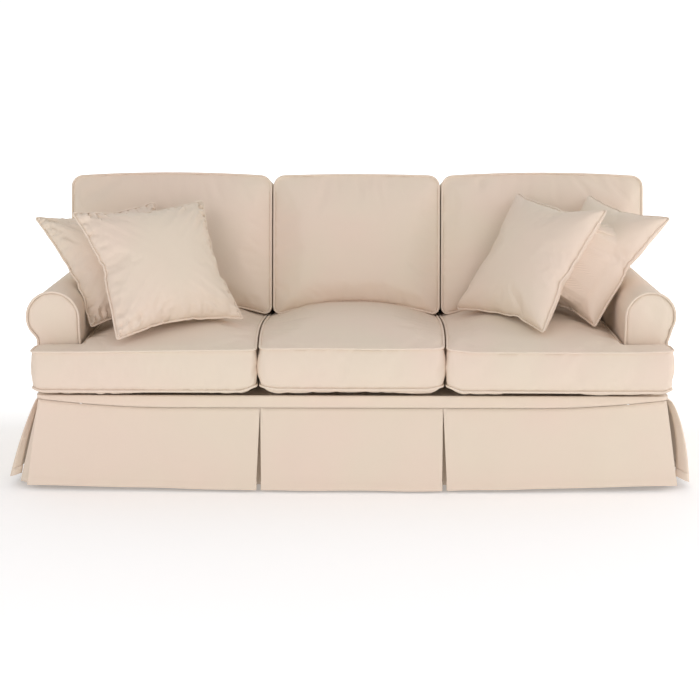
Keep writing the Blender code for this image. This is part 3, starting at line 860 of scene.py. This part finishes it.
def pressed(points, others, gap):
    """The points, with those that reach into another piece moved back to its surface."""
    for tree in others:
        for k, p in enumerate(points):
            spot, normal, _, _ = tree.find_nearest(Vector(p), 0.09)
            if spot is not None and (Vector(p) - spot).dot(normal) < gap:
                points[k] = spot + normal * gap
    return points


def pillow_nets(net, seam, results):
    """Each pillow's own net, from two simulated shapes. Only the left two are gathered at their seams: the
    right two are the plain shapes, mirrored."""
    units = []
    for moved in results:
        moved = moved - moved.mean(0)
        corner_x = np.abs(moved[[seam[0], seam[PILLOW_CELLS]], 0]).mean()
        corner_y = np.abs(moved[[seam[0], seam[3 * PILLOW_CELLS]], 1]).mean()
        moved = moved / (corner_x, corner_y, np.abs(moved[:, 2]).max())
        moved[:, :2] = 0.4 * moved[:, :2] + 0.6 * drawn_pillow(net)[:, :2]
        moved[:, 2] = np.sign(moved[:, 2]) * np.abs(moved[:, 2]) ** PILLOW_FULLNESS
        units.append(moved)
    gathered = []
    for k, unit in enumerate(units):
        drawn = unit.copy()
        drawn[:, 2] -= np.sign(drawn[:, 2]) * (gathers(net, 60 + k) + pillow_creases(net, 70 + k))
        gathered.append(drawn)
    return gathered + [unit * (-1, 1, 1) for unit in reversed(units)]


# Camera, light and floor

EYE = (0.046, -4.900, 1.415)
EYE_YAW, EYE_PITCH = math.radians(-0.66), math.radians(11.85)
EYE_LENS = 70.714
LAMP_TINT = (1.0, 0.93, 0.935)
SKY, SKY_TOP, SKY_REAR = 0.30, 0.26, 0.78
FLOOR_GLOW = (0.20, 0.92)  # round the object and far behind it
FLOOR_REACH = 40.0


def camera():
    made = bpy.data.objects.new("camera", bpy.data.cameras.new("camera"))
    bpy.context.scene.collection.objects.link(made)
    made.data.lens = EYE_LENS
    made.data.sensor_width = 36.0
    ahead = Vector((math.sin(EYE_YAW) * math.cos(EYE_PITCH), math.cos(EYE_YAW) * math.cos(EYE_PITCH), 0))
    ahead.z = -math.sin(EYE_PITCH)
    made.location = EYE
    made.rotation_euler = ahead.to_track_quat("-Z", "Y").to_euler()
    bpy.context.scene.camera = made


def lamp(name, place, target, width, height, energy):
    data = bpy.data.lights.new(name, "AREA")
    data.shape = "RECTANGLE"
    data.size, data.size_y = width, height
    data.energy = energy
    data.color = LAMP_TINT
    made = bpy.data.objects.new(name, data)
    made.location = place
    made.rotation_euler = (Vector(target) - Vector(place)).to_track_quat("-Z", "Y").to_euler()
    bpy.context.scene.collection.objects.link(made)


def spread(tree, source, *limits):
    """The source's output between its two limits, as a value between two others."""
    share = tree.nodes.new("ShaderNodeMapRange")
    for name, limit in zip(("From Min", "From Max", "To Min", "To Max"), limits):
        share.inputs[name].default_value = limit
    tree.links.new(source, share.inputs["Value"])
    return share.outputs["Result"]


def parts_of(tree, output):
    """A place or a direction, as its X, Y and Z."""
    way = tree.nodes.new("ShaderNodeTexCoord")
    parts = tree.nodes.new("ShaderNodeSeparateXYZ")
    tree.links.new(way.outputs[output], parts.inputs[0])
    return parts.outputs


def sky():
    """White behind the object, pale all round, and a little lighter above."""
    world = bpy.data.worlds.new("studio")
    world.use_nodes = True
    tree = world.node_tree
    shader = tree.nodes["Background"]
    shader.inputs["Color"].default_value = (1.0, 1.0, 1.0, 1.0)
    parts = parts_of(tree, "Generated")
    total = tree.nodes.new("ShaderNodeMath")
    total.operation = "ADD"
    tree.links.new(spread(tree, parts["Y"], 0.0, 1.0, SKY, SKY + SKY_REAR), total.inputs[0])
    tree.links.new(spread(tree, parts["Z"], 0.0, 1.0, 0.0, SKY_TOP), total.inputs[1])
    tree.links.new(total.outputs[0], shader.inputs["Strength"])
    bpy.context.scene.world = world


def studio():
    sky()
    bpy.context.scene.view_settings.view_transform = "Standard"
    lamp("left", (-2.6, -4.2, 2.4), (0.0, 0.0, 0.4), 2.4, 2.0, 43.0)
    lamp("right", (2.6, -4.2, 2.4), (0.0, 0.0, 0.4), 2.4, 2.0, 26.0)
    lamp("side", (4.0, -0.8, 1.6), (0.0, 0.0, 0.5), 2.0, 2.0, 34.0)
    lamp("low", (0.2, -4.0, 0.7), (0.0, 0.0, 0.4), 4.0, 1.0, 12.0)
    floor = bpy.data.meshes.new("floor")
    corners = [(x * FLOOR_REACH, y * FLOOR_REACH, 0) for x, y in ((-1, -1), (1, -1), (1, 1), (-1, 1))]
    floor.from_pydata(corners, [], [(0, 1, 2, 3)])
    paint = bpy.data.materials.new("floor")
    paint.use_nodes = True
    tree = paint.node_tree
    shader = tree.nodes["Principled BSDF"]
    shader.inputs["Base Color"].default_value = (0.94, 0.94, 0.94, 1.0)
    shader.inputs["Roughness"].default_value = 0.9
    shader.inputs["Specular IOR Level"].default_value = 0.0
    shader.inputs["Emission Color"].default_value = (1.0, 1.0, 1.0, 1.0)
    glow = spread(tree, parts_of(tree, "Object")["Y"], 0.3, 1.8, *FLOOR_GLOW)
    tree.links.new(glow, shader.inputs["Emission Strength"])
    floor.materials.append(paint)
    made = bpy.data.objects.new("floor", floor)
    bpy.context.scene.collection.objects.link(made)


# Body cover


def seam_z(x):
    share = np.clip((np.abs(x) - SEAM_LEVEL_X) / (SIDE_X - SEAM_LEVEL_X), 0, 1)
    return SEAM_Z + SEAM_RISE * share**1.8


def cloth_sheet(name, points, faces, slot, uv):
    """A thin sheet, thickened behind the side that its faces look to."""
    made = piece(f"{name}_cloth", points, faces, slot, uv, [name])
    solid = made.modifiers.new("cloth", "SOLIDIFY")
    solid.thickness = CLOTH
    solid.offset = -1.0


def grid_sheet(name, points, slot):
    """A sheet through a grid of points, seen from the side where its rows run left to right."""
    rows, columns = points.shape[:2]
    across = np.linalg.norm(np.diff(points, axis=1), axis=2).mean(0)
    down = np.linalg.norm(np.diff(points, axis=0), axis=2).mean(1)
    u = np.concatenate([[0], np.cumsum(across)])
    v = -np.concatenate([[0], np.cumsum(down)])
    uv = np.stack(np.meshgrid(u, v), axis=2).reshape(-1, 2)
    faces = []
    for i in range(rows - 1):
        for j in range(columns - 1):
            a = i * columns + j
            faces.append((a, a + columns, a + columns + 1, a + 1))
    cloth_sheet(name, points.reshape(-1, 3), faces, slot, uv)


def roll_arc(side, rise, start, end, steps):
    return arc(ARM_IN_X + ROLL_R[side], ROLL_Z[side] + rise, ROLL_R[side], start, end, steps)


def arm_path(side, rise, inner_z):
    """The arm's section as x and z, from low on its inner side over the roll to its neck."""
    path = [(ARM_IN_X, inner_z)] + roll_arc(side, rise, 180, NECK_TURN, 40)
    return path + [(SIDE_X + NECK_OUT, NECK_Z + NECK_HIGH), (SIDE_X, NECK_Z)]


def rest_plane_y(z):
    ahead = REST_THICK + 0.015
    y0 = REST_Y + ahead * math.cos(LEAN)
    z0 = REST_Z - ahead * math.sin(LEAN)
    return y0 + (z - z0) * math.tan(LEAN)


# Soft folds along an arm's section, and in y
ARM_FOLDS = {
    -1: ((0.32, -0.36, 0.42, -0.20, 0.0016, 0.016), (0.16, -0.36, 0.30, -0.10, 0.0020, 0.022)),
    1: ((0.30, -0.37, 0.44, -0.22, 0.0018, 0.016), (0.14, -0.36, 0.26, -0.12, 0.0020, 0.022)),
}
# Creases of each arm's front, in x from the middle of the sofa and z
ARM_FRONT_FOLDS = {
    -1: ((0.938, 0.505, 0.965, 0.540, -0.0030, 0.012), (0.93, 0.470, 0.965, 0.490, -0.0030, 0.012)),
    1: (
        (0.990, 0.640, 1.012, 0.565, -0.0060, 0.012),
        (1.015, 0.628, 1.030, 0.585, -0.0045, 0.011),
        (0.975, 0.655, 0.972, 0.630, -0.0018, 0.006),
    ),
}


def arm_inside(side, word):
    """The panel that goes up an arm's inner side and over its roll."""
    grid, count = [], None
    for y in np.linspace(ARM_FRONT_Y, ARM_REAR_Y, 64):
        rise = ROLL_RISE * (y - ARM_FRONT_Y) / (ARM_REAR_Y - ARM_FRONT_Y)
        path = np.array(arm_path(side, rise, LOW_Z))
        length = running(path)[-1]
        count = count or round(length / 0.0115)
        section = resampled(path, length / count)
        at = np.linspace(0, length, count + 1)
        lift = folds(at, np.full(len(at), y), ARM_FOLDS[side])
        lift = lift + 0.0010 * smooth_noise(at * 2 + y * 1.3, 60 + side, low=1, high=3)
        close = np.exp(-(y - ARM_FRONT_Y) / 0.012)
        lift = lift * (1 - close) - 0.0015 * close
        section = section + left_of(section) * lift[:, None]
        grid.append(np.column_stack([side * section[:, 0], np.full(len(at), y), section[:, 1]]))
    grid = np.array(grid)[::-side]
    grid_sheet(f"arm_inside_{word}", grid, "cover_cloth")


def arm_outside(side, word):
    """The panel that hangs from the roll's neck down to the skirt."""
    top, bottom = NECK_Z - 0.0005, seam_z(SIDE_X) + 0.0005
    yy, zz = np.meshgrid(np.linspace(ARM_FRONT_Y, ARM_REAR_Y, 60), np.linspace(top, bottom, 18))
    hang = folds(yy, zz, ((-0.30, 0.48, -0.22, 0.33, 0.003, 0.03), (0.10, 0.49, 0.16, 0.34, 0.003, 0.04)))
    hang = hang + 0.0012 * smooth_noise((yy * 2.2 + zz).ravel(), 70 + side).reshape(yy.shape)
    edge = np.minimum(top - zz, zz - bottom) / (top - bottom)
    hang = hang * np.minimum(1, edge * 8)
    grid = np.stack([side * (SIDE_X + hang), yy, zz], axis=2)[:, ::side]
    grid_sheet(f"arm_outside_{word}", grid, "cover_cloth")


def arm_front(side, word):
    """An arm's front panel, slightly padded, and the welt round it."""
    name = f"arm_front_{word}"
    outline = resampled(arm_path(side, 0.0, LOW_Z) + [(SIDE_X, LOW_Z)], 0.010)[::-1]
    points, triangles = filled(outline, FRONT_SPACING)
    x, z = points.T
    out = 0.010 * crown_rise(points, outline, 2.2) + folds(x, z, ARM_FRONT_FOLDS[side])
    out[: len(outline)] = 0
    world = np.column_stack([side * x, ARM_FRONT_Y - CLOTH - out, z])
    triangles = [t[::side] for t in triangles]
    cloth_sheet(name, world, triangles, "cover_cloth", points)
    low = LOW_Z + 0.006
    line = resampled(arm_path(side, 0.0, low) + [(SIDE_X, low)], WELT_STEP)
    line = line + left_of(line) * 0.0006
    cord = np.column_stack([side * line[:, 0], np.full(len(line), ARM_FRONT_Y - CLOTH - 0.0030), line[:, 1]])
    welt(f"arm_welt_{word}", cord, WELT_R, closed=False, seed=80 + side, up=(0.0, 1.0, 0.0))


def arms():
    for side, word in ((-1, "left"), (1, "right")):
        arm_inside(side, word)
        arm_outside(side, word)
        arm_front(side, word)


def deck():
    """The platform under the seat cushions, which sags behind its front edge."""
    inner = CLOTH + CREASE
    x_ear, x_main = SIDE_X - inner, ARM_IN_X - CREASE
    y_front, y_ear, y_rear = FRONT_Y + inner, ARM_FRONT_Y - CLOTH, rest_plane_y(DECK_Z) - inner
    half = arc(x_ear - CORNER_R + inner, y_front + CORNER_R - inner, CORNER_R - inner, -90, 0, 6)
    half += [(x_ear, y_ear), (x_main, y_ear), (x_main, y_rear)]
    outline = np.array(half + [(-x, y) for x, y in half[::-1]])
    points, triangles = filled(outline, 0.02)
    x, y = points.T
    out = 0.001 * smooth_noise(x * 2 + y * 3, 5)
    out = out - DECK_SAG * eased(fullness(points, outline), 0.004, 0.035)
    out = out - LIP_DROP * (1 - eased(y, ARM_FRONT_Y, ARM_FRONT_Y + 0.1))
    world = np.column_stack([points, DECK_Z + out])
    cloth_sheet("deck", world, triangles, "cover_cloth", points)


def front_border():
    """The band between the deck and the skirt, with a return round each ear of the deck."""
    corner = arc(SIDE_X - CORNER_R, FRONT_Y + CORNER_R, CORNER_R, -90, 0, 8)
    half = [(0.0, FRONT_Y)] + corner + [(SIDE_X, ARM_FRONT_Y - CREASE)]
    plan = resampled([(-x, y) for x, y in half[:0:-1]] + half, SPACING)
    creases = (
        (-0.93, 0.316, -0.83, 0.312, -0.0016, 0.005),
        (-1.00, 0.322, -0.96, 0.310, -0.0018, 0.005),
        (0.80, 0.318, 0.88, 0.312, -0.0014, 0.005),
    )
    rows = []
    for share in np.linspace(0, 1, 7):
        high = DECK_Z - LIP_DROP
        z = high + (seam_z(plan[:, 0]) + SEAM_GAP - high) * share
        lift = folds(plan[:, 0], z, creases) * (1 if 0.1 < share < 0.9 else 0)
        lift = lift + 0.0012 * math.sin(math.pi * share) * smooth_noise(plan[:, 0] * 2, 6)
        spot = plan - left_of(plan) * lift[:, None]
        rows.append(np.column_stack([spot, z]))
    grid_sheet("front_border", np.array(rows), "cover_cloth")


def inside_back():
    """The sheet behind the back cushions, and over the arms out to the back's sides."""
    wide, narrow = BACK_SIDE_X - CLOTH - CREASE, ARM_IN_X - CREASE
    above = max(ROLL_Z[side] + ROLL_R[side] for side in (-1, 1)) + ROLL_RISE + ROLL_CLEAR
    half = [(narrow, LOW_Z), (narrow, above), (wide, above)]
    half += arc(*TOP_CENTRE, wide - TOP_CENTRE[0], 0, 90, 8)
    points, triangles = filled(np.array(half + [(-x, z) for x, z in half[::-1]]), 0.03)
    x, z = points.T
    world = np.column_stack([x, rest_plane_y(z) - 0.00075 * smooth_noise(x * 1.5 + z, 8), z])
    cloth_sheet("inside_back", world, triangles, "cover_cloth", points)


def over_roll(side):
    """How high the back's side meets the roll of its arm."""
    reach = BACK_SIDE_X - CLOTH - ARM_IN_X - ROLL_R[side]
    return ROLL_Z[side] + ROLL_RISE + math.sqrt(ROLL_R[side] ** 2 - reach**2) + ROLL_CLEAR


def back_boxing():
    """The back's sides above the arms and its top, in one strip."""
    corner = arc(*TOP_CENTRE, BACK_TOP_R, 90, 0, 10)
    strip = [(-BACK_SIDE_X, over_roll(-1))] + [(-x, z) for x, z in corner[::-1]]
    strip = resampled(strip + corner + [(BACK_SIDE_X, over_roll(1))], SPACING)
    rear_y = BACK_Y - CLOTH - SEAM_GAP
    rows = []
    for share in np.linspace(0, 1, 12):
        lift = 0.0035 * math.sin(math.pi * share) * (1 + 0.4 * smooth_noise(strip[:, 0], 9, low=1, high=3))
        spot = strip + left_of(strip) * lift[:, None]
        y = rear_y + (rest_plane_y(strip[:, 1]) - rear_y) * share
        rows.append(np.column_stack([spot[:, 0], y, spot[:, 1]]))
    grid_sheet("back_boxing", np.array(rows), "cover_cloth")


def outside_back():
    """The sheet that hangs behind the back and the arms, down to the skirt."""
    outline = []
    for side in (-1, 1):
        half = [(x, float(seam_z(x)) + SEAM_GAP) for x in np.linspace(0, SIDE_X, 12)]
        half += [(SIDE_X, NECK_Z), (SIDE_X + NECK_OUT, NECK_Z + NECK_HIGH)]
        half += roll_arc(side, ROLL_RISE, NECK_TURN, 55, 12) + arc(*TOP_CENTRE, BACK_TOP_R, 90, 0, 10)[::-1]
        half = [(side * x, z) for x, z in half]
        outline = half[::-1] + outline if side > 0 else half + outline
    rim = resampled(outline[:-1] + outline[:1], 0.018)[:-1][::-1]
    drape = (
        (-0.80, 0.86, -0.68, 0.40, 0.004, 0.05),
        (-0.35, 0.88, -0.28, 0.45, 0.003, 0.06),
        (0.20, 0.87, 0.10, 0.42, 0.004, 0.05),
        (0.75, 0.86, 0.88, 0.45, 0.004, 0.05),
        (-0.98, 0.60, -0.80, 0.52, -0.002, 0.02),
        (0.98, 0.60, 0.82, 0.50, -0.002, 0.02),
    )
    points, triangles = filled(rim, FRONT_SPACING)
    x, z = points.T
    swell = np.minimum(1, fullness(points, rim) / 0.05)
    swell[: len(rim)] = 0
    world = np.column_stack([x, BACK_Y + (0.003 + folds(x, z, drape)) * swell, z])
    cloth_sheet("outside_back", world, triangles, "cover_cloth", points)


# Skirt

# Each panel as seen from outside: its seam's left and right end, its hem's, and its hem's height at each
SKIRT_PANELS = {
    "skirt_front_left": (
        (-1.046, -0.456), (-0.3055, -0.456), (-1.094, -0.468), (-0.320, -0.492), 0.018, HEM_Z,
    ),
    "skirt_front_middle": (
        (-0.3045, -0.456), (0.3045, -0.456), (-0.303, -0.492), (0.303, -0.492), HEM_Z, HEM_Z,
    ),
    "skirt_front_right": (
        (0.3055, -0.456), (1.046, -0.456), (0.320, -0.492), (1.092, -0.468), HEM_Z, 0.022,
    ),
    "skirt_side_left": (
        (-1.055, 0.425), (-1.055, -0.425), (-1.110, 0.440), (-1.165, -0.425), 0.012, 0.034,
    ),
    "skirt_side_right": (
        (1.055, -0.425), (1.055, 0.425), (1.142, -0.435), (1.110, 0.440), 0.024, 0.012,
    ),
    "skirt_back": (
        (1.046, 0.441), (-1.046, 0.441), (1.080, 0.478), (-1.080, 0.478), 0.012, 0.012,
    ),
}
# Soft folds of each panel, across its width and down its height from 0 to 1
SKIRT_FOLDS = {
    "skirt_front_left": ((0.30, 0.3, 0.26, 1.0, 0.004, 0.06), (0.62, 0.2, 0.68, 1.0, 0.003, 0.07)),
    "skirt_front_middle": ((0.25, 0.2, 0.22, 1.0, 0.003, 0.07), (0.74, 0.3, 0.78, 1.0, 0.003, 0.07)),
    "skirt_front_right": ((0.24, 0.3, 0.22, 1.0, 0.003, 0.06), (0.66, 0.2, 0.72, 1.0, 0.004, 0.07)),
    "skirt_side_left": ((0.30, 0.1, 0.28, 1.0, 0.006, 0.05), (0.66, 0.1, 0.70, 1.0, 0.007, 0.06)),
    "skirt_side_right": ((0.28, 0.1, 0.26, 1.0, 0.007, 0.05), (0.70, 0.1, 0.74, 1.0, 0.006, 0.06)),
    "skirt_back": (
        (0.15, 0.1, 0.14, 1.0, 0.005, 0.03),
        (0.42, 0.1, 0.44, 1.0, 0.005, 0.04),
        (0.8, 0.1, 0.82, 1.0, 0.006, 0.03),
    ),
}
# How far a side panel's front edge is turned in round the corner, at its left and right end, and how much
# higher the turned-in cloth hangs
SKIRT_TURNS = {"skirt_side_left": (None, 0.036, 0.010), "skirt_side_right": (0.044, None, 0.020)}
SKIRT_PUFFS = {"skirt_side_left": (1.0, 0.007), "skirt_side_right": (0.0, 0.025)}  # end, and how full
TURN_R = 0.010
RETURN = 0.036  # how far a panel's side edge is folded back behind it
TURN_UP = 0.030  # the hem's turned-up cloth
FOLD_R = 0.0020


def side_edge(wide, turned):
    """Places along a panel and depths behind its face, from the inner end of its side edge to its face."""
    if turned:
        back = 0.016
        inward = [(back * k / 4, TURN_R + (turned - TURN_R) * k / 4) for k in (4, 3, 2, 1)]
        angles = np.radians((0, 22, 45, 67))
        bend = [(TURN_R * (1 - math.cos(r)), TURN_R * (1 - math.sin(r))) for r in angles]
        return [(along / wide, deep) for along, deep in inward + bend]
    angles = np.radians((0, 45, 90, 135))
    fold = [(FOLD_R * (1 - math.sin(r)) / wide, FOLD_R * (1 + math.cos(r))) for r in angles]
    return [(RETURN * k / 3 / wide, 2 * FOLD_R) for k in (3, 2, 1)] + fold


def skirt_panel(name, top_left, top_right, hem_left, hem_right, low_left, low_right):
    """A hanging panel with its side edges folded back and its hem turned up."""
    a, b, c, d = (np.array(p) for p in (top_left, top_right, hem_left, hem_right))
    wide = np.linalg.norm(d - c)
    along = (b - a) / np.linalg.norm(b - a)
    outward = np.array([along[1], -along[0]])
    inner = np.linspace(0, 1, round(wide / 0.0125) + 1)
    turn = np.radians([0, 45, 90, 135, 180])
    turn_left, turn_right, turn_rise = SKIRT_TURNS.get(name, (None, None, 0.0))
    left, right = side_edge(wide, turn_left), side_edge(wide, turn_right)
    face = [(s, 0.0) for s in inner if TURN_R < s * wide < wide - TURN_R]
    across = left + face + [(1 - s, deep) for s, deep in right[::-1]]
    height = seam_z(a[0]) - low_left
    level = [(k / 22, 0.0) for k in range(22)]
    bend = [(1 - FOLD_R / height * (1 - math.sin(r)), FOLD_R * 0.6 * (1 - math.cos(r))) for r in turn[1:]]
    up = [(1 - TURN_UP / height * k / 3, FOLD_R * 1.2) for k in (1, 2, 3)]
    down = level + bend + up
    grid = np.zeros((len(down), len(across), 3))
    seed = sum(map(ord, name))
    for i, (drop, behind_hem) in enumerate(down):
        for j, (share, behind_edge) in enumerate(across):
            top, hem = a + (b - a) * share, c + (d - c) * share
            high = seam_z(top[0]) - 0.0006
            low = low_left + (low_right - low_left) * share
            if turn_rise:
                low += turn_rise * behind_edge / (turn_left or turn_right)
            belly = 0.004 * math.sin(math.pi * drop)
            grid[i, j, :2] = top + (hem - top) * drop + outward * belly
            grid[i, j, 2] = high + (low - high) * drop
            deep = behind_edge * (0.45 + 0.55 * drop) + behind_hem
            grid[i, j, :2] -= outward * deep
    share = np.array([s for s, _ in across])
    drop = np.array([s for s, _ in down])
    ss, dd = np.meshgrid(share, drop)
    lift = folds(ss, dd, SKIRT_FOLDS[name])
    wave = smooth_noise(share * wide, seed, waves=4, low=1.0, high=3.2)
    lift = lift + 0.0025 * wave[None, :] * dd**1.5
    lift = lift * np.clip(dd * 2.2, 0, 1)
    end, puff = SKIRT_PUFFS.get(name, (0.0, 0.0))
    lift = lift + puff * 2.1 * dd**0.4 * (1 - dd) * np.exp(-np.abs(ss - end) * wide / 0.25)
    grid[:, :, :2] += lift[:, :, None] * outward
    ripple = smooth_noise(share * wide, seed + 3, waves=4, low=1.5, high=4.0)
    grid[:, :, 2] += 0.0014 * ripple[None, :] * dd**3
    grid_sheet(
        name, grid, "skirt_cloth",
    )
    return grid[:, len(left) : len(left) + len(face)], len(level), outward


UNDERLAYS = (
    ("underlay_front_left", ((-0.37, -0.441), (-0.24, -0.441)), ((-0.39, -0.434), (-0.24, -0.434)), 0.012),
    ("underlay_front_right", ((0.24, -0.441), (0.37, -0.441)), ((0.24, -0.434), (0.39, -0.434)), 0.012),
    (
        "underlay_corner_front_left",
        ((-1.048, -0.370), (-1.048, -0.440), (-1.035, -0.450), (-0.960, -0.450)),
        ((-1.130, -0.350), (-1.128, -0.425), (-1.100, -0.447), (-1.000, -0.455)),
        0.020,
    ),
    (
        "underlay_corner_front_right",
        ((0.960, -0.450), (1.035, -0.450), (1.048, -0.440), (1.048, -0.370)),
        ((0.990, -0.455), (1.070, -0.450), (1.086, -0.435), (1.095, -0.350)),
        0.020,
    ),
    (
        "underlay_corner_rear_right",
        ((1.048, 0.370), (1.048, 0.425), (1.035, 0.434), (0.960, 0.434)),
        ((1.085, 0.360), (1.085, 0.440), (1.070, 0.455), (0.960, 0.460)),
        0.016,
    ),
    (
        "underlay_corner_rear_left",
        ((-0.960, 0.434), (-1.035, 0.434), (-1.048, 0.425), (-1.048, 0.370)),
        ((-0.960, 0.460), (-1.070, 0.455), (-1.085, 0.440), (-1.085, 0.360)),
        0.016,
    ),
)


def underlay(name, top, hem, low):
    """A strip of the same cloth that shows in a split of the skirt."""
    top, hem = np.array(top), np.array(hem)
    wide = np.linalg.norm(np.diff(hem, axis=0), axis=1).sum()
    at = np.linspace(0, 1, len(top))
    want = np.linspace(0, 1, max(6, round(wide / 0.012)))
    high = float(seam_z(top[0][0])) - 0.005
    grid = []
    for drop in np.linspace(0, 1, 20):
        plan = top + (hem - top) * drop
        x, y = np.interp(want, at, plan[:, 0]), np.interp(want, at, plan[:, 1])
        grid.append(np.column_stack([x, y, np.full(len(want), high + (low - high) * drop)]))
    grid_sheet(name, np.array(grid), "skirt_cloth")


def skirt():
    hem_rows, hem_out = [], []
    for name, row in SKIRT_PANELS.items():
        face, level, outward = skirt_panel(name, *row)
        away = (outward[0], outward[1], 0.0)
        hem_row = round(level * (1 - TURN_UP / (SEAM_Z - HEM_Z)))
        hem_rows.append(face[hem_row] + np.array(away) * 0.0003)
        hem_out.append(away)
    stitches("hem_stitches", hem_rows, hem_out)
    for row in UNDERLAYS:
        underlay(*row)


# Everything


def simulation_jobs(shapes, net, net_faces):
    """What the simulation fills: the box cushions, held at their seams, and two flat squares for pillows."""
    jobs = []
    for points, faces, low_seam, high_seam in shapes:
        pins = sorted(set(low_seam) | set(high_seam))
        job = {"points": points, "faces": faces, "pins": pins}
        jobs.append(job | {"pressure": 1.2, "shrink": -0.008, "cap": 0.006})
    pick = np.random.default_rng(11)
    for k in range(2):
        flat = net * (PILLOW_HALF, PILLOW_HALF, 0.02)
        flat[:, 2] *= 1 + 0.3 * smooth_noise(flat[:, 0] * 6 + flat[:, 1] * 4, 90 + k)
        flat[:, 2] += pick.normal(0, 0.0004, len(flat))
        job = {"points": flat, "faces": net_faces, "pins": []}
        jobs.append(job | {"pressure": 9.0, "tension": 40.0, "bending": 0.25})
    return jobs


def box_pieces(specs, shapes, results):
    """The box cushions with their welts, and a tree of each cushion's surface."""
    trees = {}
    for spec, (_, faces, _, _), moved in zip(specs, shapes, results):
        world = spec["place"](moved)
        uv = box_uv_of(spec, moved, faces)
        made = piece(f"{spec['name']}_filled", world, faces, spec["slot"], uv, [spec["name"]])
        trees[spec["name"]] = BVHTree.FromPolygons(world.tolist(), faces)
        outline = spec["outline"] + outward_normals(spec["outline"]) * WELT_SET
        for name, level in zip(spec["welts"], (spec["low"], spec["high"])):
            ring = np.column_stack([outline, np.full(len(outline), level)])
            path = spec["place"](resampled(ring, WELT_STEP, True))
            welt(name, path, WELT_R, seed=spec["seed"] + len(name))
    return trees


def pillow_pieces(nets, net, net_faces, seam, trees):
    """The pillows with their welts, each pressed back from its arm, its cushions and the pillow before it."""
    for number, (name, corners) in enumerate(PILLOWS.items()):
        points = clear_of_arm(place_pillow(nets[number], corners), PILLOW_CLEAR)
        side = "left" if "left" in name else "right"
        others = [trees[f"seat_cushion_{side}"], trees[f"back_cushion_{side}"]]
        if "rear" in name:
            others.append(trees[name.replace("rear", "front")])
        points = pressed(points, others, 0.0015)
        made = piece(f"{name}_filled", points, net_faces, "pillow_cloth", net[:, :2] * 0.23, [name])
        trees[name] = BVHTree.FromPolygons(points.tolist(), net_faces)
        rim = points[seam]
        out = rim - rim.mean(0)
        out /= np.linalg.norm(out, axis=1)[:, None]
        path = rim + out * 0.0028
        path = (np.roll(path, 1, axis=0) + 2 * path + np.roll(path, -1, axis=0)) / 4
        cord = resampled(path, WELT_STEP, True)
        welt(name.replace("pillow", "pillow_welt"), cord, PILLOW_WELT_R, seed=number + 3, up=(0.0, 1.0, 0.3))


def filled_pieces():
    """Box cushions and pillows, with their welts."""
    specs = box_specs()
    shapes = [box_shape(spec) for spec in specs]
    net, net_faces, seam = pillow_net()
    jobs = simulation_jobs(shapes, net, net_faces)
    results = simulate(jobs, 24)
    trees = box_pieces(specs, shapes, results)
    nets = pillow_nets(net, seam, results[len(specs) :])
    pillow_pieces(nets, net, net_faces, seam, trees)


camera()
studio()
filled_pieces()
arms()
deck()
front_border()
inside_back()
back_boxing()
outside_back()
skirt()
